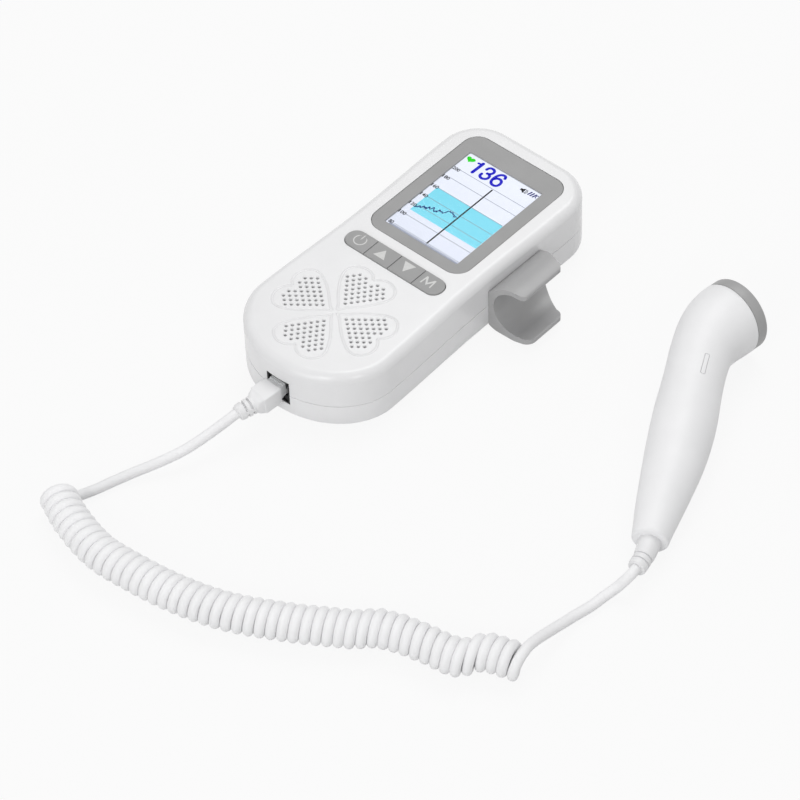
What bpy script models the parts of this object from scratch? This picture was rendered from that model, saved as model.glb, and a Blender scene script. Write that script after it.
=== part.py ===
"""Fetal doppler monitor: a handheld unit with a display, keys and a speaker grille, and a probe on a curly cord.

Metres, +Z up. The origin is the middle of the unit's flat back, on the table. The display's top points
along +Y, and the cord leaves the rounded end along -Y. The probe lies on its side on the same table.
"""

import math

import bmesh
import bpy
import numpy as np
from mathutils import Matrix, Vector

# Clearances and general values
GAP = 0.0003
OVERRUN = 0.002
SMOOTH_ANGLE = math.radians(35)

# Body of the monitor
BODY_LENGTH = 0.1496
BODY_THICKNESS = 0.028
TOP_HALF_WIDTH = 0.0327
END_RADIUS = 0.0333
END_DEPTH = 0.0271
WAIST_DEPTH = 0.0012
CORNER_RADIUS = 0.0175
END_DRAFT = 0.0014
CHAMFER_WIDTH = 0.0034
CHAMFER_DEPTH = 0.0038
CHAMFER_ROUND_SHARE = 0.8
BASE_ROUND = 0.0033
SEAM_HEIGHT = 0.0125
WALL = 0.002
LIP_THICKNESS = 0.001
LIP_HEIGHT = 0.0018
FLOOR = 0.004

# Places and lengths along the body, as shares of its length
DISPLAY_Y_SHARE = 0.2119
DISPLAY_LENGTH_SHARE = 0.3349
BEZEL_LENGTH_SHARE = 0.4372
MODULE_LENGTH_SHARE = 0.3877
KEY_Y_SHARE = -0.0540
KEY_STRIP_HEIGHT_SHARE = 0.0625
CLOVER_Y_SHARE = -0.2798
BOARD_END_SHARE = 0.4057
BOARD_START_SHARE = -0.0989
STANDOFF_Y_SHARES = (0.0481, 0.3690)
BOSS_LOW_Y_SHARE = -0.2059
CLIP_START_SHARE = 0.0602

# Display
DISPLAY_Y = BODY_LENGTH * DISPLAY_Y_SHARE
DISPLAY_WIDTH = 0.0367
DISPLAY_LENGTH = BODY_LENGTH * DISPLAY_LENGTH_SHARE
BEZEL_WIDTH = 0.0486
BEZEL_LENGTH = BODY_LENGTH * BEZEL_LENGTH_SHARE
BEZEL_OFFSET = 0.0023
BEZEL_RADIUS = 0.0068
BEZEL_THICKNESS = 0.001
WINDOW_RADIUS = 0.0006
LENS_RECESS = 0.0005
LENS_THICKNESS = 0.0009
MODULE_WIDTH = 0.042
MODULE_LENGTH = BODY_LENGTH * MODULE_LENGTH_SHARE
MODULE_RADIUS = 0.001

# Keys
KEY_Y = BODY_LENGTH * KEY_Y_SHARE
KEY_STRIP_WIDTH = 0.0486
KEY_STRIP_HEIGHT = BODY_LENGTH * KEY_STRIP_HEIGHT_SHARE
KEY_PROUD = 0.0006
KEY_ROUND = 0.0005
KEY_TRAVEL = 0.0008
KEY_FLANGE = 0.0009
KEY_FLANGE_THICKNESS = 0.001
KEY_SIDE_RELIEF = 0.0001
KEY_END_STEPS = 8
KEY_NAMES = ("key_power", "key_up", "key_down", "key_mode")
SWITCH_NAMES = ("switch_power", "switch_up", "switch_down", "switch_mode")
SWITCH_SIZE = 0.006
SWITCH_HEIGHT = 0.0027
SWITCH_BORE = 0.0038
STEM_DIAMETER = 0.003
STEM_ENTRY = 0.0009

# Speaker grille: four hearts round one centre, points inwards
CLOVER_Y = BODY_LENGTH * CLOVER_Y_SHARE
HOLE_DIAMETER = 0.0011
HOLE_SIDES = 6
HOLE_START = 0.00592
HOLE_ROW_STEP = 0.001848
HOLE_HALF_PITCH = 0.001496
HOLE_ROWS = ((0,), (1,), (0, 2), (1, 3), (0, 2, 4), (1, 3, 5), (0, 2, 4, 6), (1, 3, 5), (2, 4))
HEART_COUNT = 4
HEART_TIP = 0.0038
HEART_LENGTH = 0.0218
HEART_HALF_WIDTH = 0.0125
HEART_RECESS = 0.0004

# Speaker
SPEAKER_RADIUS = 0.018
SPEAKER_TOP_RING = 0.0025
SPEAKER_RING_THICKNESS = 0.001
SPEAKER_DEPTH = 0.0037
BASKET_WALL = 0.0008
CONE_THICKNESS = 0.0005
CONE_DROP = 0.0014
DUST_CAP_RADIUS = 0.0056
DUST_CAP_RISE = 0.0006
MAGNET_RADIUS = 0.009
MAGNET_THICKNESS = 0.003
SPEAKER_RIB = 0.0012
SPEAKER_RIB_DEPTH = 0.002

# Circuit board
BOARD_WIDTH = 0.05
BOARD_END = BODY_LENGTH * BOARD_END_SHARE
BOARD_START = BODY_LENGTH * BOARD_START_SHARE
BOARD_TOP = 0.0206
BOARD_THICKNESS = 0.0016
BOARD_CORNER = 0.001
STANDOFF_RADIUS = 0.0022
STANDOFF_X = 0.020

# Jack and plug, a small modular handset connector
JACK_X = 0.0006
JACK_BOTTOM = 0.0078
JACK_WIDTH = 0.0105
JACK_HEIGHT = 0.0109
JACK_DEPTH = 0.0124
JACK_SETBACK = 0.0008
PLUG_WIDTH = 0.00765
PLUG_HEIGHT = 0.0061
PLUG_BOTTOM = 0.0111
PLUG_INNER = 0.0108
PLUG_OUTER = 0.0030
PLUG_CHAMFER = 0.0006
CONTACT_THICKNESS = 0.0004
CONTACT_WIDTH = 0.0006
CONTACT_PITCH = 0.00127
CONTACT_COUNT = 4
LATCH_WIDTH = 0.0032
LATCH_THICKNESS = 0.001
LATCH_LENGTH = 0.0126
LATCH_SLOPE = math.radians(6.5)
LATCH_GAP = 0.0004
KEYWAY_FLOOR = 0.0004

# Boot on the plug: a square block, then ribs that taper to the cord
BOOT_BLOCK_HALF_WIDTH = 0.0044
BOOT_BLOCK_HALF_HEIGHT = 0.0040
BOOT_TAIL_RADIUS = 0.0037
BOOT_TIP_RADIUS = 0.0031
BOOT_GROOVE_DEPTH = 0.0006
BOOT_BLOCK_LENGTH = 0.0052
BOOT_RIB_LENGTH = 0.0021
BOOT_RIBS = 4
BOOT_SIDES = 12

# Cord
CORD_DIAMETER = 0.0036
CURL_WIRE_DIAMETER = 0.0031
CURL_RADIUS = 0.0052
CURL_TURNS = 48
CURL_POINTS = 8
CURL_JOG = 0.0047
CURL_JOG_SHARES = (
    (0.690, 0.0),
    (0.732, -0.45),
    (0.776, -0.25),
    (0.825, 0.28),
    (0.869, 0.87),
    (0.895, 1.0),
    (0.910, 0.62),
    (0.925, 0.06),
    (0.945, -0.12),
    (0.980, 0.0),
)
CURL_EXIT_SPREAD = 0.0016
CURL_EXIT_DROP = 0.0025
CORD_STEP_SHARE = 2.2
CORD_STRAIGHT = 0.0036

# Battery bay
CELL_DIAMETER = 0.0143
CELL_LENGTH = 0.0503
CELL_NUB_DIAMETER = 0.0053
CELL_NUB_LENGTH = 0.0012
CELL_EDGE = 0.0008
BAY_WALL = 0.0012
BAY_INSET = 0.0152
CONTACT_PLATE = 0.0005
COVER_WIDTH = 0.0404
COVER_THICKNESS = 0.0017
COVER_OVERLAP = 0.002
COVER_TONGUE = 0.0012
COVER_TONGUE_THICKNESS = 0.0008
COVER_TONGUE_INSET = 0.016
COVER_TONGUE_SHORT = 0.0057
COVER_LIP = 0.0006
COVER_GRIP_COUNT = 5
COVER_GRIP_PITCH = 0.0024
COVER_GRIP_WIDTH = 0.0012
COVER_GRIP_DEPTH = 0.0005
COVER_GRIP_LENGTH = 0.018
COVER_GRIP_INSET = 0.018

# Shell screws and their bosses
BOSS_RADIUS = 0.003
POST_RADIUS = 0.0036
BOSS_CORNER_X = 0.006
BOSS_CORNER_Y = 0.007
BOSS_LOW_INSET = 0.008
SCREW_HEAD_RADIUS = 0.0021
SCREW_HEAD_HEIGHT = 0.0015
SCREW_SHANK_RADIUS = 0.0011
SCREW_LENGTH = 0.0115
SCREW_RECESS = 0.006
COUNTERBORE_RADIUS = 0.0025
PILOT_RADIUS = 0.0014

# Probe clip on the right side wall, with its places beyond the body's half width
CLIP_WIDTH = 0.030
CLIP_CENTRE_OUT = 0.0115
CLIP_CENTRE_Z = 0.0142
CLIP_INNER_RADIUS = 0.0098
CLIP_OUTER_RADIUS = 0.012
CLIP_TIP_ANGLE = math.radians(66)
CLIP_SHOULDER_ANGLE = math.radians(125)
CLIP_LIP_ANGLE = math.radians(285)
CLIP_PAD_TOP = 0.0189
CLIP_PAD_BOTTOM = 0.0030
CLIP_LIP_OUT = 0.0199
CLIP_LIP_LOW = 0.0034
CLIP_LIP_HIGH = 0.0056
CLIP_CORNER = 0.0042
CLIP_UPPER_NEAR_TAPER = 0.0012
CLIP_UPPER_FAR_TAPER = 0.0052
CLIP_LOWER_NEAR_TAPER = 0.0004
CLIP_LOWER_FAR_TAPER = 0.0092
CLIP_SCREW_Z = 0.0077
CLIP_SCREW_OFFSET = 0.0085
CLIP_SCREW_LENGTH = 0.0045

# Probe: stations along the centre line, and the way it lies
PROBE_TAIL = (0.1512, -0.0406, 0.00942)
PROBE_YAW = math.radians(116.9)
PROBE_PITCH = math.radians(3.9)
PROBE_ROLL = math.radians(14.7)
PROBE_BEND = math.radians(32.6)
PROBE_BEND_RADIUS = 0.0456
PROBE_BOW = 0.001
PROBE_WALL = 0.0018
PROBE_SIDES = 20
HEAD_SIDES = 28
CAP_RADIUS = 0.01463
CAP_LENGTH = 0.0049
CAP_EDGE = 0.0009
CAP_WALL = 0.0016
CAP_SPIGOT = 0.003
CRYSTAL_RADIUS = 0.0095
CRYSTAL_THICKNESS = 0.0012
CRYSTAL_SPLIT = 0.001
BACKING_THICKNESS = 0.004
BACKING_RADIUS = 0.0098
PROBE_BOARD_LENGTH = 0.034
PROBE_BOARD_START = 0.036
PROBE_BOARD_THICKNESS = 0.0012
RELIEF_RADIUS = 0.0042
RELIEF_TIP_RADIUS = 0.0035
RELIEF_LENGTH = 0.0132
RELIEF_LEAN = 0.0022
RELIEF_COLLAR = 0.0052
RELIEF_SEAT = 0.003
RELIEF_GROOVE_DEPTH = 0.0006
RELIEF_FLANGE = 0.0012
RELIEF_WAIST_SHARE = 0.92
RELIEF_SLEEVE_SHARE = 0.58
RELIEF_RIBS = 3
RELIEF_SIDES = 14
SLOT_LENGTH = 0.0115
SLOT_WIDTH = 0.0016
SLOT_DEPTH = 0.0005
SLOT_START = 0.069
SLOT_TURN = math.radians(6.5)

# Handle radius, as a share of the head's, at shares of the handle's length
HANDLE_LENGTH = 0.1114
HANDLE_RADIUS_SHARES = (
    (0.0, 0.466),
    (0.053, 0.514),
    (0.106, 0.574),
    (0.212, 0.675),
    (0.319, 0.763),
    (0.425, 0.816),
    (0.531, 0.826),
    (0.637, 0.792),
    (0.726, 0.784),
    (0.814, 0.817),
    (0.885, 0.914),
    (0.947, 0.988),
    (1.0, 1.008),
)
HANDLE_STATION_SHARES = (0.05, 0.13, 0.22, 0.31, 0.40, 0.50, 0.60, 0.69, 0.75, 0.80, 0.85, 0.90, 0.95)
TAIL_ROUND = 0.0009

# Routes of the two straight leads and of the curly cord's middle line, in metres
LEAD_UNIT_ROUTE = (
    (-0.00275, -0.0933, 0.0125),
    (-0.00390, -0.0993, 0.0112),
    (-0.00560, -0.1073, 0.0095),
    (-0.00860, -0.1158, 0.0069),
    (-0.01300, -0.1246, 0.0046),
    (-0.01780, -0.1333, 0.0028),
    (-0.02130, -0.1413, 0.0019),
    (-0.02360, -0.1486, 0.0019),
)
LEAD_PROBE_ROUTE = (
    (0.15025, -0.0976, 0.0072),
    (0.14950, -0.0906, 0.0050),
    (0.14945, -0.0802, 0.0028),
    (0.15060, -0.0727, 0.0020),
    (0.15150, -0.0666, 0.0024),
    (0.15315, -0.0613, 0.0040),
)
CURL_ROUTE = (
    (-0.0284, -0.1621),
    (-0.0155, -0.1673),
    (0.0021, -0.1711),
    (0.0196, -0.1700),
    (0.0390, -0.1668),
    (0.0579, -0.1608),
    (0.0787, -0.1496),
    (0.0982, -0.1371),
    (0.1180, -0.1261),
    (0.1340, -0.1180),
    (0.1504, -0.1112),
)


def clear_scene():
    for obj in list(bpy.data.objects):
        bpy.data.objects.remove(obj)


def material(name, colour, roughness, metallic=0.0, alpha=1.0):
    made = bpy.data.materials.new(name)
    made.use_nodes = True
    shader = made.node_tree.nodes["Principled BSDF"]
    shader.inputs["Base Color"].default_value = (*colour, 1.0)
    shader.inputs["Roughness"].default_value = roughness
    shader.inputs["Metallic"].default_value = metallic
    shader.inputs["Alpha"].default_value = alpha
    return made


def make_materials():
    return {
        "white": material("white_plastic", (0.86, 0.86, 0.87), 0.28),
        "grey": material("grey_plastic", (0.36, 0.36, 0.355), 0.45),
        "lens": material("clear_lens", (0.9, 0.95, 1.0), 0.05, alpha=0.3),
        "screen": material("screen", (0.75, 0.85, 1.0), 0.3),
        "board": material("green_board", (0.05, 0.25, 0.10), 0.5),
        "black": material("black_plastic", (0.02, 0.02, 0.02), 0.4),
        "clear": material("clear_plastic", (0.85, 0.87, 0.88), 0.08, alpha=0.5),
        "steel": material("steel", (0.6, 0.6, 0.62), 0.3, metallic=1.0),
        "gold": material("gold_contact", (0.8, 0.6, 0.25), 0.25, metallic=1.0),
        "paper": material("paper_cone", (0.08, 0.08, 0.08), 0.9),
        "cell": material("cell_jacket", (0.25, 0.27, 0.30), 0.4),
        "crystal": material("crystal", (0.75, 0.72, 0.62), 0.4),
        "foam": material("backing_foam", (0.12, 0.12, 0.13), 0.95),
        "cord": material("cord_jacket", (0.84, 0.84, 0.85), 0.35),
    }


def add_mesh(name, mesh_data, paint, hidden=False):
    """Puts a finished bmesh into the scene as one object."""
    bmesh.ops.recalc_face_normals(mesh_data, faces=mesh_data.faces)
    mesh = bpy.data.meshes.new(name)
    mesh_data.to_mesh(mesh)
    mesh_data.free()
    obj = bpy.data.objects.new(name, mesh)
    bpy.context.scene.collection.objects.link(obj)
    mesh.shade_smooth()
    mesh.set_sharp_from_angle(angle=SMOOTH_ANGLE)
    if hidden:
        obj.hide_render = True
        obj.display_type = "WIRE"
    if paint is not None:
        mesh.materials.append(paint)
    return obj


def join_rings(mesh_data, rings, closed=False):
    """Skins a stack of rings that have as many points each; open stacks get a face at both ends."""
    rows = [[mesh_data.verts.new(point) for point in ring] for ring in rings]
    pairs = list(zip(rows, rows[1:]))
    if closed:
        pairs.append((rows[-1], rows[0]))
    for lower, upper in pairs:
        for index in range(len(lower)):
            after = (index + 1) % len(lower)
            mesh_data.faces.new((lower[index], lower[after], upper[after], upper[index]))
    if not closed:
        mesh_data.faces.new(rows[0][::-1])
        mesh_data.faces.new(rows[-1])


def loft(name, rings, paint=None, closed=False, hidden=False):
    mesh_data = bmesh.new()
    join_rings(mesh_data, rings, closed)
    return add_mesh(name, mesh_data, paint, hidden)


def lofts(name, stacks, paint=None, hidden=True):
    """Several separate lofts in one object, for a cutter."""
    mesh_data = bmesh.new()
    for rings in stacks:
        join_rings(mesh_data, rings)
    return add_mesh(name, mesh_data, paint, hidden)


def flat_ring(outline, height):
    return [(x, y, height) for x, y in outline]


def prism_rings(outline, low, high):
    return [flat_ring(outline, low), flat_ring(outline, high)]


def arc(centre, radius, start, end, steps):
    angles = np.linspace(start, end, steps + 1)
    return [(centre[0] + radius * math.cos(a), centre[1] + radius * math.sin(a)) for a in angles]


def circle(centre, radius, sides):
    return arc(centre, radius, 0, math.tau, sides)[:-1]


def rectangle(centre, width, length, radius=0.0, steps=3):
    """Counter-clockwise outline with rounded corners."""
    if not radius:
        halves = ((1, -1), (1, 1), (-1, 1), (-1, -1))
        return [(centre[0] + sx * width / 2, centre[1] + sy * length / 2) for sx, sy in halves]
    points = []
    for quarter, (sx, sy) in enumerate(((1, 1), (-1, 1), (-1, -1), (1, -1))):
        corner = (centre[0] + sx * (width / 2 - radius), centre[1] + sy * (length / 2 - radius))
        start = quarter * math.pi / 2
        points += arc(corner, radius, start, start + math.pi / 2, steps)
    return points


def box_rings(low, high):
    centre = ((low[0] + high[0]) / 2, (low[1] + high[1]) / 2)
    outline = rectangle(centre, high[0] - low[0], high[1] - low[1])
    return prism_rings(outline, low[2], high[2])


def boolean(target, other, operation):
    modifier = target.modifiers.new(f"{operation.lower()}_{other.name}", "BOOLEAN")
    modifier.operation = operation
    modifier.object = other


def cut(target, cutter):
    boolean(target, cutter, "DIFFERENCE")


def join(target, piece):
    piece.hide_render = True
    piece.display_type = "WIRE"
    boolean(target, piece, "UNION")


def smooth_path(points, step):
    """Points at an even step along a Catmull-Rom curve; the first and last given ones only set its end slopes."""
    places = [Vector(point) for point in points]
    dense = []
    shares = np.linspace(0, 1, 24, endpoint=False)
    for before, start, end, after in zip(places, places[1:], places[2:], places[3:]):
        for t in shares:
            a = 2 * start
            b = end - before
            c = 2 * before - 5 * start + 4 * end - after
            d = 3 * start - before - 3 * end + after
            dense.append((a + b * t + c * t**2 + d * t**3) / 2)
    dense.append(places[-2])
    along = np.array([0.0, *np.cumsum([(b - a).length for a, b in zip(dense, dense[1:])])])
    count = max(2, round(along[-1] / step))
    wanted = np.linspace(0, along[-1], count + 1)
    columns = np.array(dense).T
    return [Vector(place) for place in zip(*(np.interp(wanted, along, column) for column in columns))]


def tube(name, points, diameter, bevel_resolution, paint):
    curve = bpy.data.curves.new(name, "CURVE")
    curve.dimensions = "3D"
    curve.bevel_depth = diameter / 2
    curve.bevel_resolution = bevel_resolution
    curve.use_fill_caps = True
    spline = curve.splines.new("POLY")
    spline.points.add(len(points) - 1)
    for target, place in zip(spline.points, points):
        target.co = (*place, 1.0)
    curve.materials.append(paint)
    obj = bpy.data.objects.new(name, curve)
    bpy.context.scene.collection.objects.link(obj)
    return obj


# Body outline and shells

END_CENTRE_Y = -BODY_LENGTH / 2 + END_DEPTH
CORNER_Y = BODY_LENGTH / 2 - CORNER_RADIUS
END_STEPS = 12
SIDE_STEPS = 7
CORNER_STEPS = 5


def side_x(y, inset=0.0):
    """Half width of the body's side between the rounded end and the top corner."""
    share = (y - END_CENTRE_Y) / (CORNER_Y - END_CENTRE_Y)
    waist = WAIST_DEPTH * (1 - math.cos(math.tau * share)) / 2
    return END_RADIUS + (TOP_HALF_WIDTH - END_RADIUS) * share - waist - inset


def body_outline(inset=0.0, draft_share=0.0):
    """Plan outline of the body, counter-clockwise; the draft draws the rounded end in."""
    draft = END_DRAFT / 2 * draft_share
    width, depth = END_RADIUS - draft - inset, END_DEPTH - draft - inset
    turns = np.linspace(-math.pi / 2, 0, END_STEPS + 1)[:-1]
    right = [(width * math.cos(turn), END_CENTRE_Y + draft + depth * math.sin(turn)) for turn in turns]
    for share in np.linspace(0, 1, SIDE_STEPS + 1)[:-1]:
        y = END_CENTRE_Y + draft + (CORNER_Y - END_CENTRE_Y - draft) * share
        right.append((side_x(y, inset) - draft * (1 - share), y))
    corner = (TOP_HALF_WIDTH - CORNER_RADIUS, CORNER_Y)
    right += arc(corner, CORNER_RADIUS - inset, 0, math.pi / 2, CORNER_STEPS)
    left = [(-x, y) for x, y in reversed(right[1:])]
    return right + left


def body_ring(inset, height, draft_share=0.0):
    return flat_ring(body_outline(inset, draft_share), height)


def base_rings(top):
    """The lower half's outer rings, from the flat back up to a height."""
    rings = []
    for angle in (90, 60, 30, 0):
        turn = math.radians(angle)
        height = BASE_ROUND * (1 - math.sin(turn))
        inset = BASE_ROUND * (1 - math.cos(turn))
        rings.append(body_ring(inset, height, 1 - height / SEAM_HEIGHT))
    rings.append(body_ring(0.0, top))
    return rings


def chamfer_rings(bottom):
    """The upper half's outer rings, from a height up to the flat top face."""
    rings = [body_ring(0.0, bottom)]
    for angle in (0, 30, 60, 90):
        turn = math.radians(angle)
        flat = (1 - CHAMFER_ROUND_SHARE) * angle / 90
        inset = CHAMFER_WIDTH * (CHAMFER_ROUND_SHARE * (1 - math.cos(turn)) + flat)
        rise = CHAMFER_DEPTH * (CHAMFER_ROUND_SHARE * math.sin(turn) + flat)
        rings.append(body_ring(inset, BODY_THICKNESS - CHAMFER_DEPTH + rise))
    return rings


def heart_outline(turn):
    """One heart with its point towards the clover's centre; turn is its direction."""
    lobe = HEART_HALF_WIDTH / 2
    shoulder = HEART_LENGTH - lobe
    right = [(0.0, HEART_TIP), (lobe, HEART_TIP + shoulder * 0.38)]
    right += arc((lobe, HEART_TIP + shoulder - lobe * 0.35), lobe, -0.35, math.pi * 0.86, 7)
    left = [(-x, y) for x, y in reversed(right[1:])]
    cosine, sine = math.cos(turn), math.sin(turn)
    return [(x * cosine - y * sine, CLOVER_Y + x * sine + y * cosine) for x, y in right + left]


def grille_places():
    """Centres of the grille's holes: rows across each heart, a half pitch apart in turn."""
    places = []
    for heart in range(HEART_COUNT):
        turn = heart * math.tau / HEART_COUNT
        cosine, sine = math.cos(turn), math.sin(turn)
        for row, offsets in enumerate(HOLE_ROWS):
            out = HOLE_START + row * HOLE_ROW_STEP
            for offset in offsets:
                for side in (1, -1) if offset else (1,):
                    across = side * offset * HOLE_HALF_PITCH
                    x = across * cosine - out * sine
                    places.append((x, CLOVER_Y + across * sine + out * cosine))
    return places


def build_top_shell(paints):
    inner = []
    inner.append(body_ring(WALL, SEAM_HEIGHT + GAP / 2))
    inner.append(body_ring(WALL, BODY_THICKNESS - CHAMFER_DEPTH - WALL / 2))
    inner.append(body_ring(WALL + CHAMFER_WIDTH / 2, BODY_THICKNESS - WALL))
    rings = chamfer_rings(SEAM_HEIGHT + GAP / 2)[::-1] + inner
    shell = loft("top_shell", rings, paints["white"])
    for index, (x, y) in enumerate(BOSS_PLACES):
        outline = circle((x, y), BOSS_RADIUS, 12)
        rings = prism_rings(outline, SEAM_HEIGHT + GAP / 2, BODY_THICKNESS - WALL / 2)
        join(shell, loft(f"guide_boss_{index}", rings, hidden=True))
        pilot = prism_rings(circle((x, y), PILOT_RADIUS, 8), SEAM_HEIGHT - OVERRUN, SCREW_TOP + GAP)
        cut(shell, loft(f"guide_pilot_{index}", pilot, hidden=True))
    rib_low = BODY_THICKNESS - WALL - SPEAKER_RIB_DEPTH
    rib_high = BODY_THICKNESS - WALL / 2
    rib_outer = SPEAKER_RADIUS + 2 * GAP + SPEAKER_RIB
    rib = ring_loft("guide_speaker_rib", SPEAKER_RADIUS + 2 * GAP, rib_outer, rib_low, rib_high, 24)
    join(shell, rib)
    bezel_y = DISPLAY_Y + BEZEL_OFFSET
    pocket = rectangle((0, bezel_y), BEZEL_WIDTH + 2 * GAP, BEZEL_LENGTH + 2 * GAP, BEZEL_RADIUS + GAP, 5)
    pocket_floor = BODY_THICKNESS - BEZEL_THICKNESS - GAP
    cut(shell, loft("guide_pocket", prism_rings(pocket, pocket_floor, BODY_THICKNESS + OVERRUN), hidden=True))
    window = rectangle((0, DISPLAY_Y), MODULE_WIDTH + 2 * GAP, MODULE_LENGTH + 2 * GAP)
    window_rings = prism_rings(window, BODY_THICKNESS - WALL - OVERRUN, BODY_THICKNESS)
    cut(shell, loft("guide_window", window_rings, hidden=True))
    slot = rectangle((0, KEY_Y), KEY_STRIP_WIDTH, KEY_STRIP_HEIGHT, KEY_STRIP_HEIGHT / 2 - GAP, 6)
    slot_rings = prism_rings(slot, BODY_THICKNESS - WALL - OVERRUN, BODY_THICKNESS + OVERRUN)
    cut(shell, loft("guide_key_slot", slot_rings, hidden=True))
    hearts = []
    for heart in range(HEART_COUNT):
        outline = heart_outline(heart * math.tau / HEART_COUNT)
        hearts.append(prism_rings(outline, BODY_THICKNESS - HEART_RECESS, BODY_THICKNESS + OVERRUN))
    cut(shell, lofts("guide_hearts", hearts))
    holes = []
    for place in grille_places():
        outline = circle(place, HOLE_DIAMETER / 2, HOLE_SIDES)
        holes.append(prism_rings(outline, BODY_THICKNESS - WALL - OVERRUN, BODY_THICKNESS + OVERRUN))
    cut(shell, lofts("guide_holes", holes))
    cut(shell, bpy.data.objects["guide_jack"])
    return shell


def ring_loft(name, inner, outer, low, high, sides, centre=(0.0, CLOVER_Y), paint=None):
    """A flat ring of square section."""
    section = ((outer, low), (outer, high), (inner, high), (inner, low))
    rings = [flat_ring(circle(centre, radius, sides), height) for radius, height in section]
    return loft(name, rings, paint, closed=True, hidden=paint is None)


def build_jack_cutter():
    """The opening in the end wall, through both shells."""
    outline = rectangle((JACK_X, END_WALL_Y), JACK_WIDTH + 2 * GAP, 2 * JACK_DEPTH + 2 * GAP)
    rings = prism_rings(outline, JACK_BOTTOM - GAP, JACK_BOTTOM + JACK_HEIGHT + GAP)
    loft("guide_jack", rings, hidden=True)


def build_bottom_shell(paints):
    rim = SEAM_HEIGHT - GAP / 2
    lip = WALL + GAP
    inner = lip + LIP_THICKNESS
    rings = base_rings(rim)
    rings.append(body_ring(lip, rim))
    rings.append(body_ring(lip, rim + LIP_HEIGHT))
    rings.append(body_ring(inner, rim + LIP_HEIGHT))
    rings.append(body_ring(inner, FLOOR + BASE_ROUND / 2, 1.0))
    rings.append(body_ring(inner + BASE_ROUND / 2, FLOOR, 1.0))
    shell = loft("bottom_shell", rings, paints["white"])
    bay_outer = box_rings((-BAY_HALF - BAY_WALL, BAY_START - BAY_WALL, FLOOR / 2),
                          (BAY_HALF + BAY_WALL, BAY_END + BAY_WALL, BAY_TOP + BAY_WALL))
    join(shell, loft("guide_bay_box", bay_outer, hidden=True))
    for index, (x, y) in enumerate(BOSS_PLACES):
        outline = circle((x, y), POST_RADIUS, 12)
        join(shell, loft(f"guide_post_{index}", prism_rings(outline, FLOOR / 2, rim), hidden=True))
    for side in (-1, 1):
        for share in STANDOFF_Y_SHARES:
            outline = circle((side * STANDOFF_X, BODY_LENGTH * share), STANDOFF_RADIUS, 10)
            top = BOARD_TOP - BOARD_THICKNESS - GAP
            guide = loft(f"guide_standoff_{side}_{share}", prism_rings(outline, FLOOR / 2, top), hidden=True)
            join(shell, guide)
    shelf = box_rings((JACK_X - JACK_WIDTH / 2, -BODY_LENGTH / 2 + 2 * WALL, FLOOR / 2),
                      (JACK_X + JACK_WIDTH / 2, BAY_START - BAY_WALL / 2, JACK_BOTTOM - GAP))
    join(shell, loft("guide_jack_shelf", shelf, hidden=True))
    recess = box_rings((-COVER_WIDTH / 2 - GAP, -BODY_LENGTH / 2 - OVERRUN, -OVERRUN),
                       (COVER_WIDTH / 2 + GAP, COVER_END + GAP, COVER_THICKNESS + GAP))
    cut(shell, loft("guide_cover_recess", recess, hidden=True))
    groove_half = COVER_WIDTH / 2 + COVER_TONGUE + GAP
    groove = box_rings((-groove_half, -BODY_LENGTH / 2 - OVERRUN, COVER_LIP),
                       (groove_half, COVER_TONGUE_END + GAP, COVER_TONGUE_TOP + GAP))
    cut(shell, loft("guide_cover_groove", groove, hidden=True))
    bay = box_rings((-BAY_HALF, BAY_START, 0.0), (BAY_HALF, BAY_END, BAY_TOP))
    cut(shell, loft("guide_bay", bay, hidden=True))
    for index, place in enumerate(BOSS_PLACES):
        wide = prism_rings(circle(place, COUNTERBORE_RADIUS, 12), -OVERRUN, SCREW_RECESS)
        narrow = prism_rings(circle(place, PILOT_RADIUS, 8), SCREW_RECESS - OVERRUN, SEAM_HEIGHT + OVERRUN)
        cut(shell, loft(f"guide_counterbore_{index}", wide, hidden=True))
        cut(shell, loft(f"guide_bore_{index}", narrow, hidden=True))
    for index, y in enumerate(CLIP_SCREW_YS):
        cut(shell, side_cylinder(f"guide_clip_bore_{index}", y, PILOT_RADIUS, END_RADIUS / 2, CLIP_CENTRE_X))
    cut(shell, bpy.data.objects["guide_jack"])
    return shell


def side_cylinder(name, y, radius, start, end, sides=8):
    """A cylinder along +X at the clip's screw height, as a cutter."""
    rings = []
    for x in (start, end):
        rings.append([(x, y + dy, CLIP_SCREW_Z + dz) for dy, dz in circle((0, 0), radius, sides)])
    return loft(name, rings, hidden=True)


def build_battery_cover(paints):
    cover = loft("battery_cover", base_rings(SEAM_HEIGHT), paints["white"])
    plate = box_rings((-COVER_WIDTH / 2, -BODY_LENGTH / 2 - OVERRUN, -OVERRUN),
                      (COVER_WIDTH / 2, COVER_END, COVER_THICKNESS))
    boolean(cover, loft("guide_cover_plate", plate, hidden=True), "INTERSECT")
    tongue_half = COVER_WIDTH / 2 + COVER_TONGUE
    tongue = box_rings((-tongue_half, COVER_TONGUE_START, COVER_LIP + GAP),
                       (tongue_half, COVER_TONGUE_END, COVER_TONGUE_TOP))
    join(cover, loft("guide_cover_tongues", tongue, hidden=True))
    grips = []
    for index in range(COVER_GRIP_COUNT):
        y = COVER_GRIP_Y + index * COVER_GRIP_PITCH
        low = (-COVER_GRIP_LENGTH / 2, y, -OVERRUN)
        grips.append(box_rings(low, (COVER_GRIP_LENGTH / 2, y + COVER_GRIP_WIDTH, COVER_GRIP_DEPTH)))
    cut(cover, lofts("guide_cover_grips", grips))
    return cover


# Places that follow from the values above

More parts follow.
